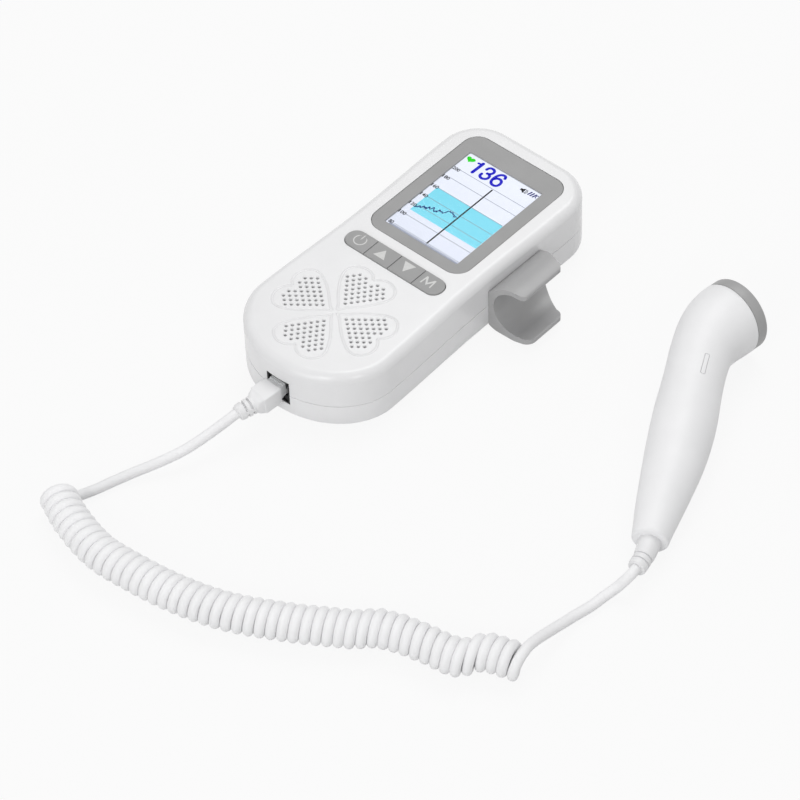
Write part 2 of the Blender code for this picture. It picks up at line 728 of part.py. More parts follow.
END_WALL_Y = END_CENTRE_Y - END_DEPTH * math.sqrt(1 - (JACK_WIDTH / 2 / END_RADIUS) ** 2)
JACK_FRONT_Y = END_WALL_Y + JACK_SETBACK
JACK_BACK_Y = JACK_FRONT_Y + JACK_DEPTH
BAY_HALF = CELL_DIAMETER + 3 * GAP
BAY_START = -BODY_LENGTH / 2 + BAY_INSET
BAY_END = BAY_START + CELL_LENGTH + 2 * CONTACT_PLATE + 4 * GAP
BAY_TOP = COVER_THICKNESS + CELL_DIAMETER + 3 * GAP
COVER_END = BAY_END + COVER_OVERLAP
COVER_TONGUE_START = -BODY_LENGTH / 2 + COVER_TONGUE_INSET
COVER_TONGUE_END = BAY_END - COVER_TONGUE_SHORT
COVER_TONGUE_TOP = COVER_LIP + GAP + COVER_TONGUE_THICKNESS
COVER_GRIP_Y = -BODY_LENGTH / 2 + COVER_GRIP_INSET
BOSS_TOP = (TOP_HALF_WIDTH - CORNER_RADIUS + BOSS_CORNER_X, CORNER_Y + BOSS_CORNER_Y)
BOSS_LOW = (TOP_HALF_WIDTH - BOSS_LOW_INSET, BODY_LENGTH * BOSS_LOW_Y_SHARE)
BOSS_PLACES = [(side * x, y) for x, y in (BOSS_TOP, BOSS_LOW) for side in (-1, 1)]
CLIP_START = BODY_LENGTH * CLIP_START_SHARE
CLIP_CENTRE_X = TOP_HALF_WIDTH + CLIP_CENTRE_OUT
CLIP_LIP_EDGE = TOP_HALF_WIDTH + CLIP_LIP_OUT
SCREW_HEAD_TOP = SCREW_RECESS - GAP
SCREW_TOP = SCREW_HEAD_TOP + SCREW_LENGTH
CLIP_SCREW_YS = (CLIP_START + CLIP_SCREW_OFFSET, CLIP_START + CLIP_WIDTH - CLIP_SCREW_OFFSET)


def build_display(paints):
    bezel_y = DISPLAY_Y + BEZEL_OFFSET
    outline = rectangle((0, bezel_y), BEZEL_WIDTH, BEZEL_LENGTH, BEZEL_RADIUS, 5)
    low = BODY_THICKNESS - BEZEL_THICKNESS
    bezel = loft("display_bezel", prism_rings(outline, low, BODY_THICKNESS), paints["grey"])
    window = rectangle((0, DISPLAY_Y), DISPLAY_WIDTH, DISPLAY_LENGTH, WINDOW_RADIUS, 2)
    window_rings = prism_rings(window, low - OVERRUN, BODY_THICKNESS + OVERRUN)
    cut(bezel, loft("guide_bezel_window", window_rings, hidden=True))
    lens_top = BODY_THICKNESS - LENS_RECESS
    lens_low = lens_top - LENS_THICKNESS
    lens = rectangle((0, DISPLAY_Y), DISPLAY_WIDTH - 2 * GAP, DISPLAY_LENGTH - 2 * GAP, WINDOW_RADIUS, 2)
    loft("display_lens", prism_rings(lens, lens_low, lens_top), paints["lens"])
    module = rectangle((0, DISPLAY_Y), MODULE_WIDTH, MODULE_LENGTH, MODULE_RADIUS, 2)
    loft("display_module", prism_rings(module, BOARD_TOP + GAP, lens_low - GAP), paints["screen"])
    return bezel


def key_outline(index, grow=0.0):
    """Plan outline of one key: a quarter of the strip, with the strip's round ends on the outer two."""
    pitch = KEY_STRIP_WIDTH / len(KEY_NAMES)
    middle = -KEY_STRIP_WIDTH / 2 + (index + 0.5) * pitch
    reach = pitch / 2 - GAP / 2 - (0.0 if grow else KEY_SIDE_RELIEF)
    half = KEY_STRIP_HEIGHT / 2 - GAP + grow
    outer = pitch / 2 - GAP + grow - half
    if index == len(KEY_NAMES) - 1:
        points = arc((middle + outer, KEY_Y), half, -math.pi / 2, math.pi / 2, KEY_END_STEPS)
    else:
        points = [(middle + reach, KEY_Y - half), (middle + reach, KEY_Y + half)]
    if index == 0:
        points += arc((middle - outer, KEY_Y), half, math.pi / 2, 3 * math.pi / 2, KEY_END_STEPS)
    else:
        points += [(middle - reach, KEY_Y + half), (middle - reach, KEY_Y - half)]
    return points


def shrink(outline, amount):
    """Draws an outline in towards its middle by an amount on each side."""
    xs, ys = zip(*outline)
    middle = ((min(xs) + max(xs)) / 2, (min(ys) + max(ys)) / 2)
    half = ((max(xs) - min(xs)) / 2, (max(ys) - min(ys)) / 2)
    scale = ((half[0] - amount) / half[0], (half[1] - amount) / half[1])
    return [(middle[0] + (x - middle[0]) * scale[0], middle[1] + (y - middle[1]) * scale[1]) for x, y in outline]


def build_keys(paints):
    pitch = KEY_STRIP_WIDTH / len(KEY_NAMES)
    top = BODY_THICKNESS + KEY_PROUD
    flange_top = BODY_THICKNESS - WALL - GAP
    flange_low = flange_top - KEY_FLANGE_THICKNESS
    bore_floor = BOARD_TOP + GAP + SWITCH_HEIGHT - STEM_ENTRY - KEY_TRAVEL - GAP
    for index, (name, switch_name) in enumerate(zip(KEY_NAMES, SWITCH_NAMES)):
        outline = key_outline(index)
        wide = key_outline(index, KEY_FLANGE)
        xs = [x for x, _ in outline]
        centre = ((min(xs) + max(xs)) / 2, KEY_Y)
        stem = circle(centre, STEM_DIAMETER / 2, 10)
        stem_low = BOARD_TOP + GAP + SWITCH_HEIGHT - STEM_ENTRY
        rings = [flat_ring(wide, flange_low), flat_ring(wide, flange_top), flat_ring(outline, flange_top)]
        rings.append(flat_ring(outline, top - KEY_ROUND))
        rings.append(flat_ring(shrink(outline, KEY_ROUND * 0.3), top - KEY_ROUND * 0.3))
        rings.append(flat_ring(shrink(outline, KEY_ROUND), top))
        key = loft(name, rings, paints["grey"])
        stem_rings = prism_rings(stem, stem_low, flange_low + KEY_FLANGE_THICKNESS / 2)
        join(key, loft(f"guide_stem_{index}", stem_rings, hidden=True))
        body = rectangle(centre, SWITCH_SIZE, SWITCH_SIZE)
        switch_rings = prism_rings(body, BOARD_TOP + GAP, BOARD_TOP + GAP + SWITCH_HEIGHT)
        switch = loft(switch_name, switch_rings, paints["black"])
        bore = prism_rings(circle(centre, SWITCH_BORE / 2, 12), bore_floor, BODY_THICKNESS)
        cut(switch, loft(f"guide_switch_bore_{index}", bore, hidden=True))


def build_board(paints):
    centre = (0.0, (BOARD_START + BOARD_END) / 2)
    outline = rectangle(centre, BOARD_WIDTH, BOARD_END - BOARD_START, BOARD_CORNER, 1)
    loft("main_board", prism_rings(outline, BOARD_TOP - BOARD_THICKNESS, BOARD_TOP), paints["board"])


def revolved(name, section, centre, sides, paint, closed=True):
    """A turned piece: section is a list of (radius, height) round a vertical axis."""
    rings = [flat_ring(circle(centre, radius, sides), height) for radius, height in section]
    return loft(name, rings, paint, closed=closed)


def build_speaker(paints):
    top = BODY_THICKNESS - WALL - GAP
    low = top - SPEAKER_DEPTH
    centre = (0.0, CLOVER_Y)
    inner = SPEAKER_RADIUS - SPEAKER_TOP_RING
    throat = MAGNET_RADIUS
    basket = (
        (SPEAKER_RADIUS, top - SPEAKER_RING_THICKNESS),
        (SPEAKER_RADIUS, top),
        (inner, top),
        (throat, low + BASKET_WALL),
        (throat - SPEAKER_TOP_RING, low + BASKET_WALL),
        (throat - SPEAKER_TOP_RING, low),
        (throat, low),
        (inner, top - SPEAKER_RING_THICKNESS),
    )
    revolved("speaker_basket", basket, centre, 24, paints["steel"])
    slope = (inner - throat) / (SPEAKER_DEPTH - BASKET_WALL)
    rim = inner - (CONE_THICKNESS + GAP) * slope - GAP
    cone_low = top - CONE_THICKNESS - CONE_DROP
    cone = (
        (DUST_CAP_RADIUS, cone_low),
        (rim, top - CONE_THICKNESS),
        (rim, top),
        (rim - CONE_THICKNESS, top),
        (DUST_CAP_RADIUS, cone_low + CONE_THICKNESS),
        (DUST_CAP_RADIUS / 2, cone_low + CONE_THICKNESS + DUST_CAP_RISE),
    )
    revolved("speaker_cone", cone, centre, 24, paints["paper"], closed=False)
    magnet = ((MAGNET_RADIUS, low - GAP - MAGNET_THICKNESS), (MAGNET_RADIUS, low - GAP))
    revolved("speaker_magnet", magnet, centre, 24, paints["black"], closed=False)


def build_jack(paints):
    """Black housing with the plug's cavity and the latch's keyway, and its four contact fingers."""
    outline = rectangle((JACK_X, (JACK_FRONT_Y + JACK_BACK_Y) / 2), JACK_WIDTH, JACK_DEPTH)
    housing = loft("jack_housing", prism_rings(outline, JACK_BOTTOM, JACK_BOTTOM + JACK_HEIGHT), paints["black"])
    back = JACK_FRONT_Y + PLUG_INNER + 2 * GAP
    half = PLUG_WIDTH / 2 + GAP
    finger_low = PLUG_BOTTOM + PLUG_HEIGHT + GAP
    finger_top = finger_low + CONTACT_THICKNESS
    cavity = box_rings((JACK_X - half, JACK_FRONT_Y - OVERRUN, PLUG_BOTTOM - GAP),
                       (JACK_X + half, back, finger_top + GAP))
    cut(housing, loft("guide_plug_cavity", cavity, hidden=True))
    half = LATCH_WIDTH / 2 + GAP
    keyway = box_rings((JACK_X - half, JACK_FRONT_Y - OVERRUN, JACK_BOTTOM + KEYWAY_FLOOR),
                       (JACK_X + half, back, PLUG_BOTTOM))
    cut(housing, loft("guide_keyway", keyway, hidden=True))
    half = CONTACT_PITCH * CONTACT_COUNT / 2
    start = back - PLUG_INNER / 2
    comb = loft("jack_contacts", box_rings((JACK_X - half, start, finger_low),
                                           (JACK_X + half, back - GAP, finger_top)), paints["gold"])
    slots = []
    for index in range(CONTACT_COUNT - 1):
        middle = JACK_X + (index - (CONTACT_COUNT - 2) / 2) * CONTACT_PITCH
        low = (middle - (CONTACT_PITCH - CONTACT_WIDTH) / 2, start - OVERRUN, finger_low - OVERRUN)
        high = (middle + (CONTACT_PITCH - CONTACT_WIDTH) / 2, back - OVERRUN, finger_top + OVERRUN)
        slots.append(box_rings(low, high))
    cut(comb, lofts("guide_comb_slots", slots))


def build_plug(paints):
    """Clear modular plug, its latch lever and the rubber boot behind it."""
    outer_y = JACK_FRONT_Y - PLUG_OUTER
    inner_y = JACK_FRONT_Y + PLUG_INNER
    middle_z = PLUG_BOTTOM + PLUG_HEIGHT / 2
    rings = []
    for y, shrink_by in ((inner_y, PLUG_CHAMFER), (inner_y - PLUG_CHAMFER, 0.0), (outer_y, 0.0)):
        outline = rectangle((0, 0), PLUG_WIDTH - 2 * shrink_by, PLUG_HEIGHT - 2 * shrink_by, PLUG_CHAMFER / 2, 2)
        rings.append([(JACK_X + x, y, middle_z + z) for x, z in outline])
    loft("plug_body", rings, paints["clear"])
    half = LATCH_WIDTH / 2
    rings = []
    pivot_z = PLUG_BOTTOM - LATCH_GAP - LATCH_THICKNESS / 2
    pivot_y = inner_y - LATCH_THICKNESS
    for share in (0.0, 0.25, 0.5, 0.75, 1.0):
        out = LATCH_LENGTH * share
        y = pivot_y - out * math.cos(LATCH_SLOPE)
        z = pivot_z - out * math.sin(LATCH_SLOPE)
        thick = LATCH_THICKNESS / 2
        rings.append([(JACK_X + sx * half, y, z + sz * thick) for sx, sz in ((1, -1), (1, 1), (-1, 1), (-1, -1))])
    loft("plug_latch", rings, paints["clear"])
    build_boot(paints, outer_y - GAP, middle_z)


def boot_section(half_width, half_height, roundness):
    """A ring in the section plane, from a rounded block to a circle as roundness goes to 1."""
    power = 2 / (2 + 3 * (1 - roundness))
    ring = []
    for step in range(BOOT_SIDES):
        angle = math.tau * step / BOOT_SIDES
        cosine, sine = math.cos(angle), math.sin(angle)
        ring.append((half_width * math.copysign(abs(cosine) ** power, cosine),
                     half_height * math.copysign(abs(sine) ** power, sine)))
    return ring


def boot_stations():
    """Distance along the boot, half width, half height and roundness of each ring."""
    block = (BOOT_BLOCK_HALF_WIDTH, BOOT_BLOCK_HALF_HEIGHT)
    stations = [(0.0, block[0] - BOOT_GROOVE_DEPTH, block[1] - BOOT_GROOVE_DEPTH, 0.0)]
    stations.append((BOOT_GROOVE_DEPTH, *block, 0.0))
    stations.append((BOOT_BLOCK_LENGTH, *block, 0.1))
    for rib in range(BOOT_RIBS):
        share = rib / (BOOT_RIBS - 1)
        radius = BOOT_TAIL_RADIUS + (BOOT_TIP_RADIUS - BOOT_TAIL_RADIUS) * share
        start = BOOT_BLOCK_LENGTH + (rib + 0.4) * BOOT_RIB_LENGTH
        low = radius - BOOT_GROOVE_DEPTH
        stations.append((start, low, low, 1.0))
        stations.append((start + BOOT_RIB_LENGTH * 0.25, low, low, 1.0))
        stations.append((start + BOOT_RIB_LENGTH * 0.35, radius, radius, 1.0))
        stations.append((start + BOOT_RIB_LENGTH * 0.9, radius * 0.99, radius * 0.99, 1.0))
    return stations


def placed_rings(stations, path, section):
    """Rings of a piece whose centre line follows a path; each station is a distance and its section's values."""
    rings = []
    for station in stations:
        centre, across, up = path(station[0])
        rings.append([centre + across * x + up * z for x, z in section(*station[1:])])
    return rings


def build_boot(paints, start_y, start_z):
    stations = boot_stations()
    length = stations[-1][0]
    start = Vector((JACK_X, start_y, start_z))
    exit_point = Vector(LEAD_UNIT_ROUTE[0])
    heading = (Vector(LEAD_UNIT_ROUTE[1]) - exit_point).normalized()
    end = exit_point - heading * GAP
    control = start + Vector((0, -1, 0)) * (length * 0.55)

    def path(distance):
        t = distance / length
        place = start * (1 - t) ** 2 + control * 2 * t * (1 - t) + end * t**2
        slope = ((control - start) * (1 - t) + (end - control) * t).normalized()
        if t == 1:
            slope = heading
        across = slope.cross(Vector((0, 0, 1))).normalized()
        return place, across, across.cross(slope)

    rings = placed_rings(stations, path, boot_section)
    loft("plug_boot", rings, paints["cord"])


def build_battery(paints):
    middle_z = COVER_THICKNESS + GAP + CELL_DIAMETER / 2 + GAP / 2
    low_y = BAY_START + CONTACT_PLATE + 2 * GAP
    for index, (side, name) in enumerate(((-1, "battery_cell_left"), (1, "battery_cell_right"))):
        radius = CELL_DIAMETER / 2
        profile = [(radius - CELL_EDGE, 0.0), (radius, CELL_EDGE)]
        body = CELL_LENGTH - CELL_NUB_LENGTH
        profile += [(radius, body - CELL_EDGE), (radius - CELL_EDGE, body)]
        profile += [(CELL_NUB_DIAMETER / 2, body), (CELL_NUB_DIAMETER / 2, CELL_LENGTH)]
        x = side * (CELL_DIAMETER / 2 + GAP / 2)
        rings = []
        for ring_radius, out in profile:
            along = low_y + (out if index else CELL_LENGTH - out)
            points = circle((0, 0), ring_radius, 16)
            rings.append([(x + px, along, middle_z + pz) for px, pz in points])
        loft(name, rings, paints["cell"])
    plate_z = (COVER_THICKNESS + 2 * GAP, BAY_TOP - CELL_DIAMETER / 4)
    bridge_y = (BAY_END - GAP - CONTACT_PLATE, BAY_END - GAP)
    bridge = box_rings((-BAY_HALF + GAP, bridge_y[0], plate_z[0]), (BAY_HALF - GAP, bridge_y[1], plate_z[1]))
    loft("battery_bridge", bridge, paints["steel"])
    contact_y = (BAY_START + GAP, BAY_START + GAP + CONTACT_PLATE)
    for side, name in ((-1, "battery_contact_left"), (1, "battery_contact_right")):
        near, far = sorted((side * GAP * 2, side * (BAY_HALF - GAP)))
        plate = box_rings((near, contact_y[0], plate_z[0]), (far, contact_y[1], plate_z[1]))
        loft(name, plate, paints["steel"])


def build_screws(paints):
    section = (
        (SCREW_HEAD_RADIUS, SCREW_HEAD_TOP - SCREW_HEAD_HEIGHT),
        (SCREW_HEAD_RADIUS, SCREW_HEAD_TOP),
        (SCREW_SHANK_RADIUS, SCREW_HEAD_TOP),
        (SCREW_SHANK_RADIUS, SCREW_TOP - SCREW_SHANK_RADIUS),
        (SCREW_SHANK_RADIUS / 3, SCREW_TOP),
    )
    for index, place in enumerate(BOSS_PLACES):
        revolved(f"shell_screw_{index + 1}", section, place, 10, paints["steel"], closed=False)
    for index, y in enumerate(CLIP_SCREW_YS):
        head_x = side_x(y, WALL + GAP + LIP_THICKNESS + GAP)
        profile = (
            (SCREW_HEAD_RADIUS, head_x - SCREW_HEAD_HEIGHT),
            (SCREW_HEAD_RADIUS, head_x),
            (SCREW_SHANK_RADIUS, head_x),
            (SCREW_SHANK_RADIUS, head_x + CLIP_SCREW_LENGTH),
        )
        rings = []
        for radius, x in profile:
            rings.append([(x, y + dy, CLIP_SCREW_Z + dz) for dy, dz in circle((0, 0), radius, 10)])
        loft(f"clip_screw_{index + 1}", rings, paints["steel"])


def clip_section():
    """The clip's outline in the XZ plane: a pad on the unit's side, and a C with a long lower lip."""
    centre = (CLIP_CENTRE_X, CLIP_CENTRE_Z)
    pad_x = TOP_HALF_WIDTH - WALL
    points = [(pad_x, CLIP_PAD_BOTTOM), (TOP_HALF_WIDTH + WALL, CLIP_PAD_BOTTOM - WALL)]
    bottom = CLIP_CENTRE_Z - CLIP_OUTER_RADIUS - (CLIP_OUTER_RADIUS - CLIP_INNER_RADIUS) / 2
    points += [(CLIP_CENTRE_X - CLIP_INNER_RADIUS / 2, bottom), (CLIP_CENTRE_X, bottom)]
    points += [(CLIP_LIP_EDGE, CLIP_LIP_LOW), (CLIP_LIP_EDGE, CLIP_LIP_HIGH)]
    points += arc(centre, CLIP_INNER_RADIUS, CLIP_LIP_ANGLE, CLIP_TIP_ANGLE, 20)
    points += arc(centre, CLIP_OUTER_RADIUS, CLIP_TIP_ANGLE, CLIP_SHOULDER_ANGLE, 6)
    points.append((pad_x, CLIP_PAD_TOP))
    return points


def arm_end_rings(edge_x, root_y, side, taper, low, high):
    """Cutter for one end of an arm, in plan: a slanted edge from the pad, and a rounded corner at the tip."""
    root_x = CLIP_CENTRE_X - CLIP_OUTER_RADIUS
    tip_y = root_y - side * taper
    centre = (edge_x - CLIP_CORNER, tip_y - side * CLIP_CORNER)
    points = [(root_x, root_y)]
    for angle in np.linspace(math.pi / 2, 0, 6):
        points.append((centre[0] + CLIP_CORNER * math.cos(angle), centre[1] + side * CLIP_CORNER * math.sin(angle)))
    points.append((edge_x + OVERRUN, centre[1]))
    points.append((edge_x + OVERRUN, root_y + side * OVERRUN))
    points.append((root_x, root_y + side * OVERRUN))
    if side > 0:
        points.reverse()
    return prism_rings(points, low, high)


def build_clip(paints):
    section = clip_section()
    end_y = CLIP_START + CLIP_WIDTH
    rings = [[(x, y, z) for x, z in section] for y in (CLIP_START, end_y)]
    clip = loft("probe_clip", rings, paints["grey"])
    tip_x = CLIP_CENTRE_X + CLIP_OUTER_RADIUS * math.cos(CLIP_TIP_ANGLE)
    upper = (CLIP_CENTRE_Z, BODY_THICKNESS + OVERRUN)
    lower = (-OVERRUN, CLIP_CENTRE_Z)
    ends = (
        (tip_x, CLIP_START, -1, CLIP_UPPER_NEAR_TAPER, *upper),
        (tip_x, end_y, 1, CLIP_UPPER_FAR_TAPER, *upper),
        (CLIP_LIP_EDGE, CLIP_START, -1, CLIP_LOWER_NEAR_TAPER, *lower),
        (CLIP_LIP_EDGE, end_y, 1, CLIP_LOWER_FAR_TAPER, *lower),
    )
    for index, values in enumerate(ends):
        cut(clip, loft(f"guide_clip_end_{index}", arm_end_rings(*values), hidden=True))
    body = [flat_ring(body_outline(-GAP), z) for z in (-OVERRUN, BODY_THICKNESS + OVERRUN)]
    cut(clip, loft("guide_clip_seat", body, hidden=True))
    for index, y in enumerate(CLIP_SCREW_YS):
        hole_end = side_x(y, WALL + GAP + LIP_THICKNESS + GAP) + CLIP_SCREW_LENGTH + GAP
        cut(clip, side_cylinder(f"guide_clip_hole_{index}", y, PILOT_RADIUS, END_RADIUS / 2, hole_end))


# Probe

PROBE_STRAIGHT = HANDLE_LENGTH - PROBE_BEND * PROBE_BEND_RADIUS


def probe_matrix():
    turn = Matrix.Rotation(PROBE_YAW, 4, "Z") @ Matrix.Rotation(-PROBE_PITCH, 4, "Y")
    return Matrix.Translation(PROBE_TAIL) @ turn @ Matrix.Rotation(PROBE_ROLL, 4, "X")


def probe_path(distance):
    """Centre line in the probe's own frame: a slight bow along +X, then a bend towards -Y."""
    over = min(max(distance - PROBE_STRAIGHT, 0.0), PROBE_BEND * PROBE_BEND_RADIUS)
    angle = over / PROBE_BEND_RADIUS
    along = min(distance, PROBE_STRAIGHT)
    place = Vector((along, -PROBE_BOW * math.sin(math.pi * along / PROBE_STRAIGHT) ** 2, 0.0))
    place += PROBE_BEND_RADIUS * Vector((math.sin(angle), math.cos(angle) - 1, 0.0))
    heading = Vector((math.cos(angle), -math.sin(angle), 0.0))
    place += heading * max(distance - PROBE_STRAIGHT - PROBE_BEND * PROBE_BEND_RADIUS, 0.0)
    across = Vector((math.sin(angle), math.cos(angle), 0.0))
    return place, across, Vector((0.0, 0.0, 1.0))


def handle_radius(distance):
    """Outer radius of the handle at a distance from its tail end."""
    table = [Vector(pair) for pair in HANDLE_RADIUS_SHARES]
    table = [2 * table[0] - table[1], *table, 2 * table[-1] - table[-2]]
    shares, radii = np.array(smooth_path(table, 1 / len(table) ** 2)).T
    return CAP_RADIUS * float(np.interp(distance / HANDLE_LENGTH, shares, radii))


def half_ring(outer, inner, side):
    """A half tube's section: the outer arc one way and the inner arc back, a gap short of the split."""
    points = []
    for radius, sweep in ((outer, (0.0, math.pi)), (inner, (math.pi, 0.0))):
        start = math.asin(min(1.0, GAP / 2 / radius))
        for angle in np.linspace(*sweep, PROBE_SIDES // 2 + 1):
            held = min(max(angle, start), math.pi - start)
            points.append((radius * math.cos(held), side * radius * math.sin(held)))
    return points


def build_probe(paints, carrier):
    end = HANDLE_LENGTH
    tail_bore = RELIEF_RADIUS + GAP
    flange_bore = RELIEF_COLLAR + GAP
    stations = [(0.0, handle_radius(0.0) - TAIL_ROUND, tail_bore)]
    stations.append((TAIL_ROUND, handle_radius(TAIL_ROUND), tail_bore))
    stations.append((RELIEF_SEAT, handle_radius(RELIEF_SEAT), tail_bore))
    stations.append((RELIEF_SEAT + GAP / 2, handle_radius(RELIEF_SEAT), flange_bore))
    for share in HANDLE_STATION_SHARES:
        radius = handle_radius(share * end)
        stations.append((share * end, radius, radius - PROBE_WALL))
    stations.append((end, handle_radius(end), handle_radius(end) - PROBE_WALL))
    for side, name in ((1, "probe_shell_upper"), (-1, "probe_shell_lower")):
        rings = placed_rings(stations, probe_path, lambda outer, inner: half_ring(outer, inner, side))
        shell = loft(name, rings, paints["white"])
        shell.parent = carrier
        if side > 0:
            top = handle_radius(SLOT_START + SLOT_LENGTH / 2) - SLOT_DEPTH
            centre = (SLOT_START + SLOT_LENGTH / 2, 0.0)
            slot = rectangle(centre, SLOT_LENGTH, SLOT_WIDTH, SLOT_WIDTH / 3, 2)
            cutter = loft("guide_probe_slot", prism_rings(slot, top, CAP_RADIUS), hidden=True)
            cutter.rotation_euler.x = SLOT_TURN
            cutter.parent = carrier
            cut(shell, cutter)
    build_head(paints, carrier)
    build_relief(paints, carrier)
    middle = PROBE_BOARD_START + PROBE_BOARD_LENGTH / 2
    ends = (PROBE_BOARD_START, PROBE_BOARD_START + PROBE_BOARD_LENGTH)
    centre = (middle, probe_path(middle)[0].y)
    sway = max(abs(probe_path(place)[0].y - centre[1]) for place in ends)
    half = PROBE_BOARD_THICKNESS / 2
    bore = (handle_radius(PROBE_BOARD_START) - PROBE_WALL) * math.cos(math.pi / PROBE_SIDES)
    board = rectangle(centre, PROBE_BOARD_LENGTH, 2 * (math.sqrt(bore**2 - half**2) - GAP - sway))
    loft("probe_board", prism_rings(board, -half, half), paints["board"]).parent = carrier


def head_rings(profile, sides):
    """Rings round the head's axis from a list of (radius, distance from the handle's front end)."""
    centre, across, up = probe_path(HANDLE_LENGTH)
    axis = across.cross(up)
    rings = []
    for radius, out in profile:
        rings.append([centre + axis * out + across * x + up * z for x, z in circle((0, 0), radius, sides)])
    return rings


def build_head(paints, carrier):
    """Grey cap with the crystals behind its face."""
    outer = CAP_RADIUS
    bore = BACKING_RADIUS + GAP
    seat = handle_radius(HANDLE_LENGTH - CAP_SPIGOT) - PROBE_WALL
    spigot = seat * math.cos(math.pi / PROBE_SIDES) - GAP
    face = CAP_LENGTH + GAP
    cap = (
        (bore, face - CAP_WALL),
        (bore, GAP - CAP_SPIGOT),
        (spigot, GAP - CAP_SPIGOT),
        (spigot, GAP),
        (outer, GAP),
        (outer, face - CAP_EDGE),
        (outer - CAP_EDGE * 0.3, face - CAP_EDGE * 0.3),
        (outer - CAP_EDGE, face),
    )
    loft("transducer_cap", head_rings(cap, HEAD_SIDES), paints["grey"]).parent = carrier
    crystal_face = face - CAP_WALL - GAP
    for side, name in ((1, "crystal_transmit"), (-1, "crystal_receive")):
        turn = math.asin(CRYSTAL_SPLIT / 2 / CRYSTAL_RADIUS)
        outline = arc((0, 0), CRYSTAL_RADIUS, turn, math.pi - turn, 12)
        centre, across, up = probe_path(HANDLE_LENGTH)
        axis = across.cross(up)
        rings = []
        for out in (crystal_face - CRYSTAL_THICKNESS, crystal_face):
            rings.append([centre + axis * out + across * x + up * side * z for x, z in outline])
        loft(name, rings, paints["crystal"]).parent = carrier
    back = crystal_face - CRYSTAL_THICKNESS - GAP
    backing = ((BACKING_RADIUS, back - BACKING_THICKNESS), (BACKING_RADIUS, back))
    loft("crystal_backing", head_rings(backing, PROBE_SIDES), paints["foam"]).parent = carrier


def build_relief(paints, carrier):
    """Ribbed strain relief: a flange held between the half shells, and a tapered sleeve outside."""
    flange = RELIEF_SEAT + GAP
    profile = [(RELIEF_COLLAR, flange + RELIEF_FLANGE), (RELIEF_COLLAR, flange)]
    profile += [(RELIEF_RADIUS, flange), (RELIEF_RADIUS * RELIEF_WAIST_SHARE, -RELIEF_LENGTH * RELIEF_SLEEVE_SHARE)]
    pitch = RELIEF_LENGTH * (1 - RELIEF_SLEEVE_SHARE) / RELIEF_RIBS
    for rib in range(RELIEF_RIBS):
        out = -RELIEF_LENGTH * RELIEF_SLEEVE_SHARE - rib * pitch
        groove = RELIEF_TIP_RADIUS - RELIEF_GROOVE_DEPTH
        profile.append((groove, out - pitch * 0.15))
        profile.append((groove, out - pitch * 0.35))
        profile.append((RELIEF_TIP_RADIUS, out - pitch * 0.5))
        profile.append((RELIEF_TIP_RADIUS, out - pitch))
    rings = []
    for radius, along in profile:
        centre, heading = relief_path(-along)
        across = Vector((-heading.y, heading.x, 0.0))
        rings.append([centre + across * x + Vector((0, 0, z)) for x, z in circle((0, 0), radius, RELIEF_SIDES)])
    loft("probe_relief", rings, paints["cord"]).parent = carrier


def relief_path(out):
    """Middle line and direction of the strain relief, which leans aside beyond the handle's tail."""
    share = max(out, 0.0) / RELIEF_LENGTH
    heading = Vector((-1.0, 2 * RELIEF_LEAN / RELIEF_LENGTH * share, 0.0)).normalized()
    return Vector((-out, RELIEF_LEAN * share**2, 0.0)), heading


# Cord

def curl_points():
    """The curly cord's wire: a left-handed helix round a smooth middle line, straight at both ends."""
    floor = CORD_DIAMETER / 2 + CURL_RADIUS
    route = [Vector((x, y, floor)) for x, y in CURL_ROUTE]
    route = [2 * route[0] - route[1], *route, 2 * route[-1] - route[-2]]
    line = np.array(smooth_path(route, CURL_RADIUS / 4))
    along = np.concatenate(([0.0], np.cumsum(np.linalg.norm(np.diff(line, axis=0), axis=1))))
    length = along[-1]
    turns = CURL_TURNS + 0.5
    steps = round(turns * CURL_POINTS)
    points = []
    jog_places, jogs = zip(*CURL_JOG_SHARES)
    for step in range(steps + 1):
        share = step / steps
        place = share * length
        centre = np.array([np.interp(place, along, line[:, axis]) for axis in range(3)])
        near, far = max(place - CURL_RADIUS * 2, 0.0), min(place + CURL_RADIUS * 2, length)
        heading = np.array([np.interp(far, along, line[:, axis]) - np.interp(near, along, line[:, axis])
                            for axis in range(3)])
        heading /= np.linalg.norm(heading)
        side = np.array([heading[1], -heading[0], 0.0])
        opened = max(0.0, (share - 1) * turns * 2 + 1)
        centre = centre + side * CURL_JOG * np.interp(share, jog_places, jogs) + heading * CURL_EXIT_SPREAD * opened**2
        centre[2] -= CURL_EXIT_DROP * opened**2 * (3 - 2 * opened)
        angle = math.tau * turns * share
        out = side * math.sin(angle) - np.array([0.0, 0.0, 1.0]) * math.cos(angle)
        points.append(Vector(centre + CURL_RADIUS * out))
    return points


def straight_end(points, length):
    """Adds a straight run beyond each end of a path, along its tangent in the plane of the table."""
    first = (points[0] - points[1]).normalized()
    last = (points[-1] - points[-2]).normalized()
    first.z = last.z = 0.0
    return [points[0] + first.normalized() * length, *points, points[-1] + last.normalized() * length]


def least_self_gap(points, diameter):
    """Least distance between stretches of a wire that aren't neighbours, less its diameter."""
    places = np.array(points)
    fine = np.concatenate([places[:-1] + (places[1:] - places[:-1]) * t for t in np.linspace(0, 1, 5)[:-1]])
    order = np.concatenate([np.arange(len(places) - 1) + t for t in np.linspace(0, 1, 5)[:-1]])
    least = math.inf
    for place, index in zip(fine, order):
        apart = np.abs(order - index) > CURL_POINTS * 0.6
        least = min(least, float(np.linalg.norm(fine[apart] - place, axis=1).min()))
    return least - diameter


